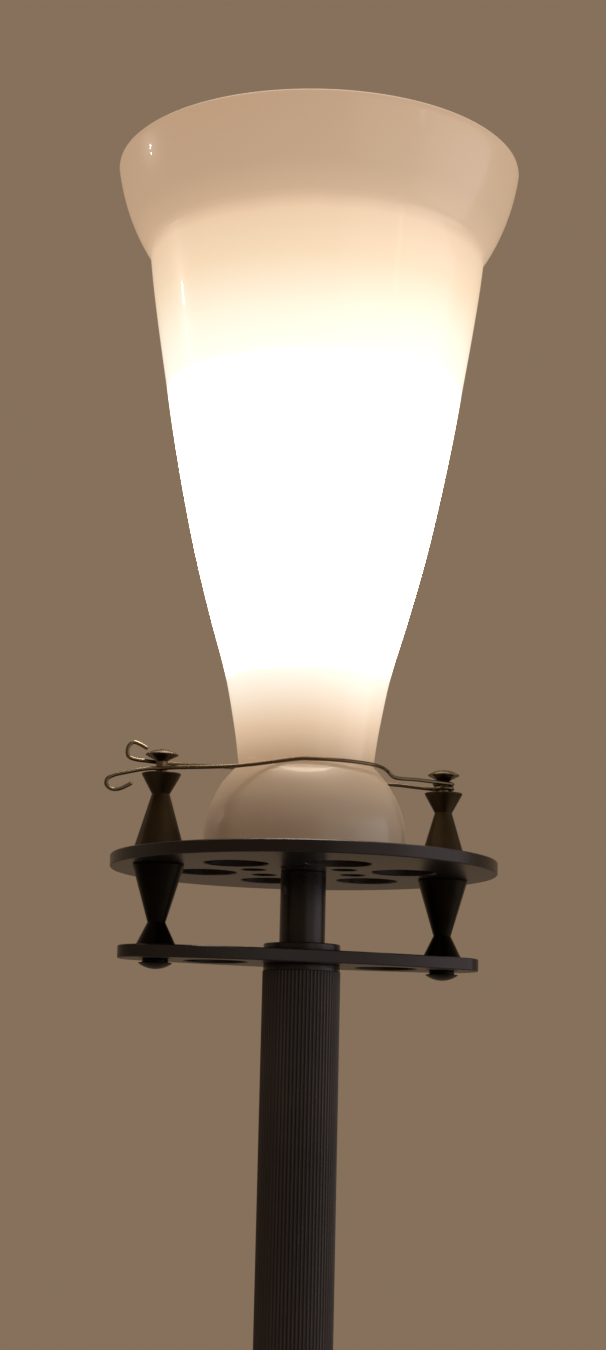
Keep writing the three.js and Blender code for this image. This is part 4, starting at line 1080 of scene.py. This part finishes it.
def inner_skin(side_curve, arc, wall, top):
    """The bulb's inside, one wall in from the outside."""
    skin = [(radius - wall, height) for radius, height in side_curve]
    centre = arc[0][1]
    radius = arc[0][0] - wall
    for i in range(1, len(arc) - 1):
        angle = TURN / 4 * i / (len(arc) - 1)
        skin.append((radius * math.cos(angle), centre + radius * math.sin(angle)))
    skin.append((0, top - wall))
    return skin


# ------------------------------------------------------------------ carried-over CAD pieces
def paint_cad_nodes():
    finishes = {
        "cable_gland": RUBBER, "lead_tail": SLEEVE, "lead_riser": SLEEVE, "base_nut": STEEL, "top_nut": STEEL,
        "holder_nut": STEEL, "holder_contact": BRASS, "bulb_tip": BRASS,
    }
    for node, material in finishes.items():
        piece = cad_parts[node]
        piece.data.materials.clear()
        piece.data.materials.append(material)


# ------------------------------------------------------------------ stage, lights, camera
def stage():
    """A wide pale floor and an even, warm room round it."""
    material, tree, shader = new_material("pale_floor")
    shader.inputs["Roughness"].default_value = 0.85
    patches = blended(tree, noise(tree, scale=3, detail=4), (0.60, 0.58, 0.55), (0.63, 0.61, 0.58))
    tree.links.new(patches, shader.inputs["Base Color"])
    mesh = turned_mesh("floor", [(0, 0), (FLOOR_RADIUS, 0)], False, segments=96)
    floor = bpy.data.objects.new("floor", mesh)
    mesh.materials.append(material)
    bpy.context.scene.collection.objects.link(floor)
    world = bpy.data.worlds.new("soft_room")
    world.use_nodes = True
    background = world.node_tree.nodes["Background"]
    background.inputs["Color"].default_value = (0.240, 0.165, 0.106, 1)
    background.inputs["Strength"].default_value = 1.0
    bpy.context.scene.world = world


def area_light(name, place, target, size, power, colour):
    data = bpy.data.lights.new(name, "AREA")
    data.shape = "RECTANGLE"
    data.size, data.size_y = size
    data.energy = power
    data.color = colour
    light = bpy.data.objects.new(name, data)
    light.location = place
    light.rotation_euler = (Vector(target) - Vector(place)).to_track_quat("-Z", "Y").to_euler()
    bpy.context.scene.collection.objects.link(light)


def lights():
    area_light("right_window", (1.6, -2.2, 2.15), (0, 0, 1.6), (0.16, 0.34), 0.30, (1.0, 0.95, 0.88))
    area_light("left_lamp", (-2.41, 1.79, 2.32), (0, 0, 1.85), (0.06, 0.06), 1.6, (1.0, 0.97, 0.92))
    area_light("left_lamp_low", (-2.41, 1.79, 2.2), (0, 0, 1.85), (0.04, 0.04), 0.25, (1.0, 0.97, 0.92))
    area_light("soft_right", (2.75, -1.25, 1.4), (0, 0, 1.3), (2.6, 2.2), 16, (1.0, 0.98, 1.0))
    area_light("soft_front", (1.12, -3.0, 1.6), (0, 0, 1.2), (2.6, 2.6), 8, (1.0, 0.96, 0.92))
    area_light("soft_top", (0.3, 0.5, 4.6), (0, 0, 1.2), (3.2, 3.2), 34, (1.0, 0.94, 0.87))


def camera():
    """The photograph's view: a little below the plates, 1.45 m away, looking up."""
    data = bpy.data.cameras.new("photo_view")
    data.sensor_fit = "VERTICAL"
    data.sensor_height = 36
    data.lens = 59.7
    data.clip_start = 0.02
    eye = bpy.data.objects.new("photo_view", data)
    below_plate = 0.141
    azimuth = math.radians(-19.5)
    pitch = math.radians(10.61)
    roll = math.radians(-1.3)
    distance = 1.446
    height = UPPER_PLATE_BOTTOM * MM - below_plate
    eye.location = (math.sin(azimuth) * distance, -math.cos(azimuth) * distance, height)
    aim = azimuth + math.radians(0.13)
    ahead = Vector((-math.sin(aim) * math.cos(pitch), math.cos(aim) * math.cos(pitch), math.sin(pitch)))
    eye.rotation_euler = (Quaternion(ahead, roll) @ ahead.to_track_quat("-Z", "Y")).to_euler()
    bpy.context.scene.collection.objects.link(eye)
    bpy.context.scene.camera = eye


bpy.context.scene.view_settings.view_transform = "Standard"
camera()
stage()
lights()
glass_shade()
upper_plate()
lower_plate()
posts()
stem()
clip()
base()
feet()
inner_lamp()
bulb()
paint_cad_nodes()
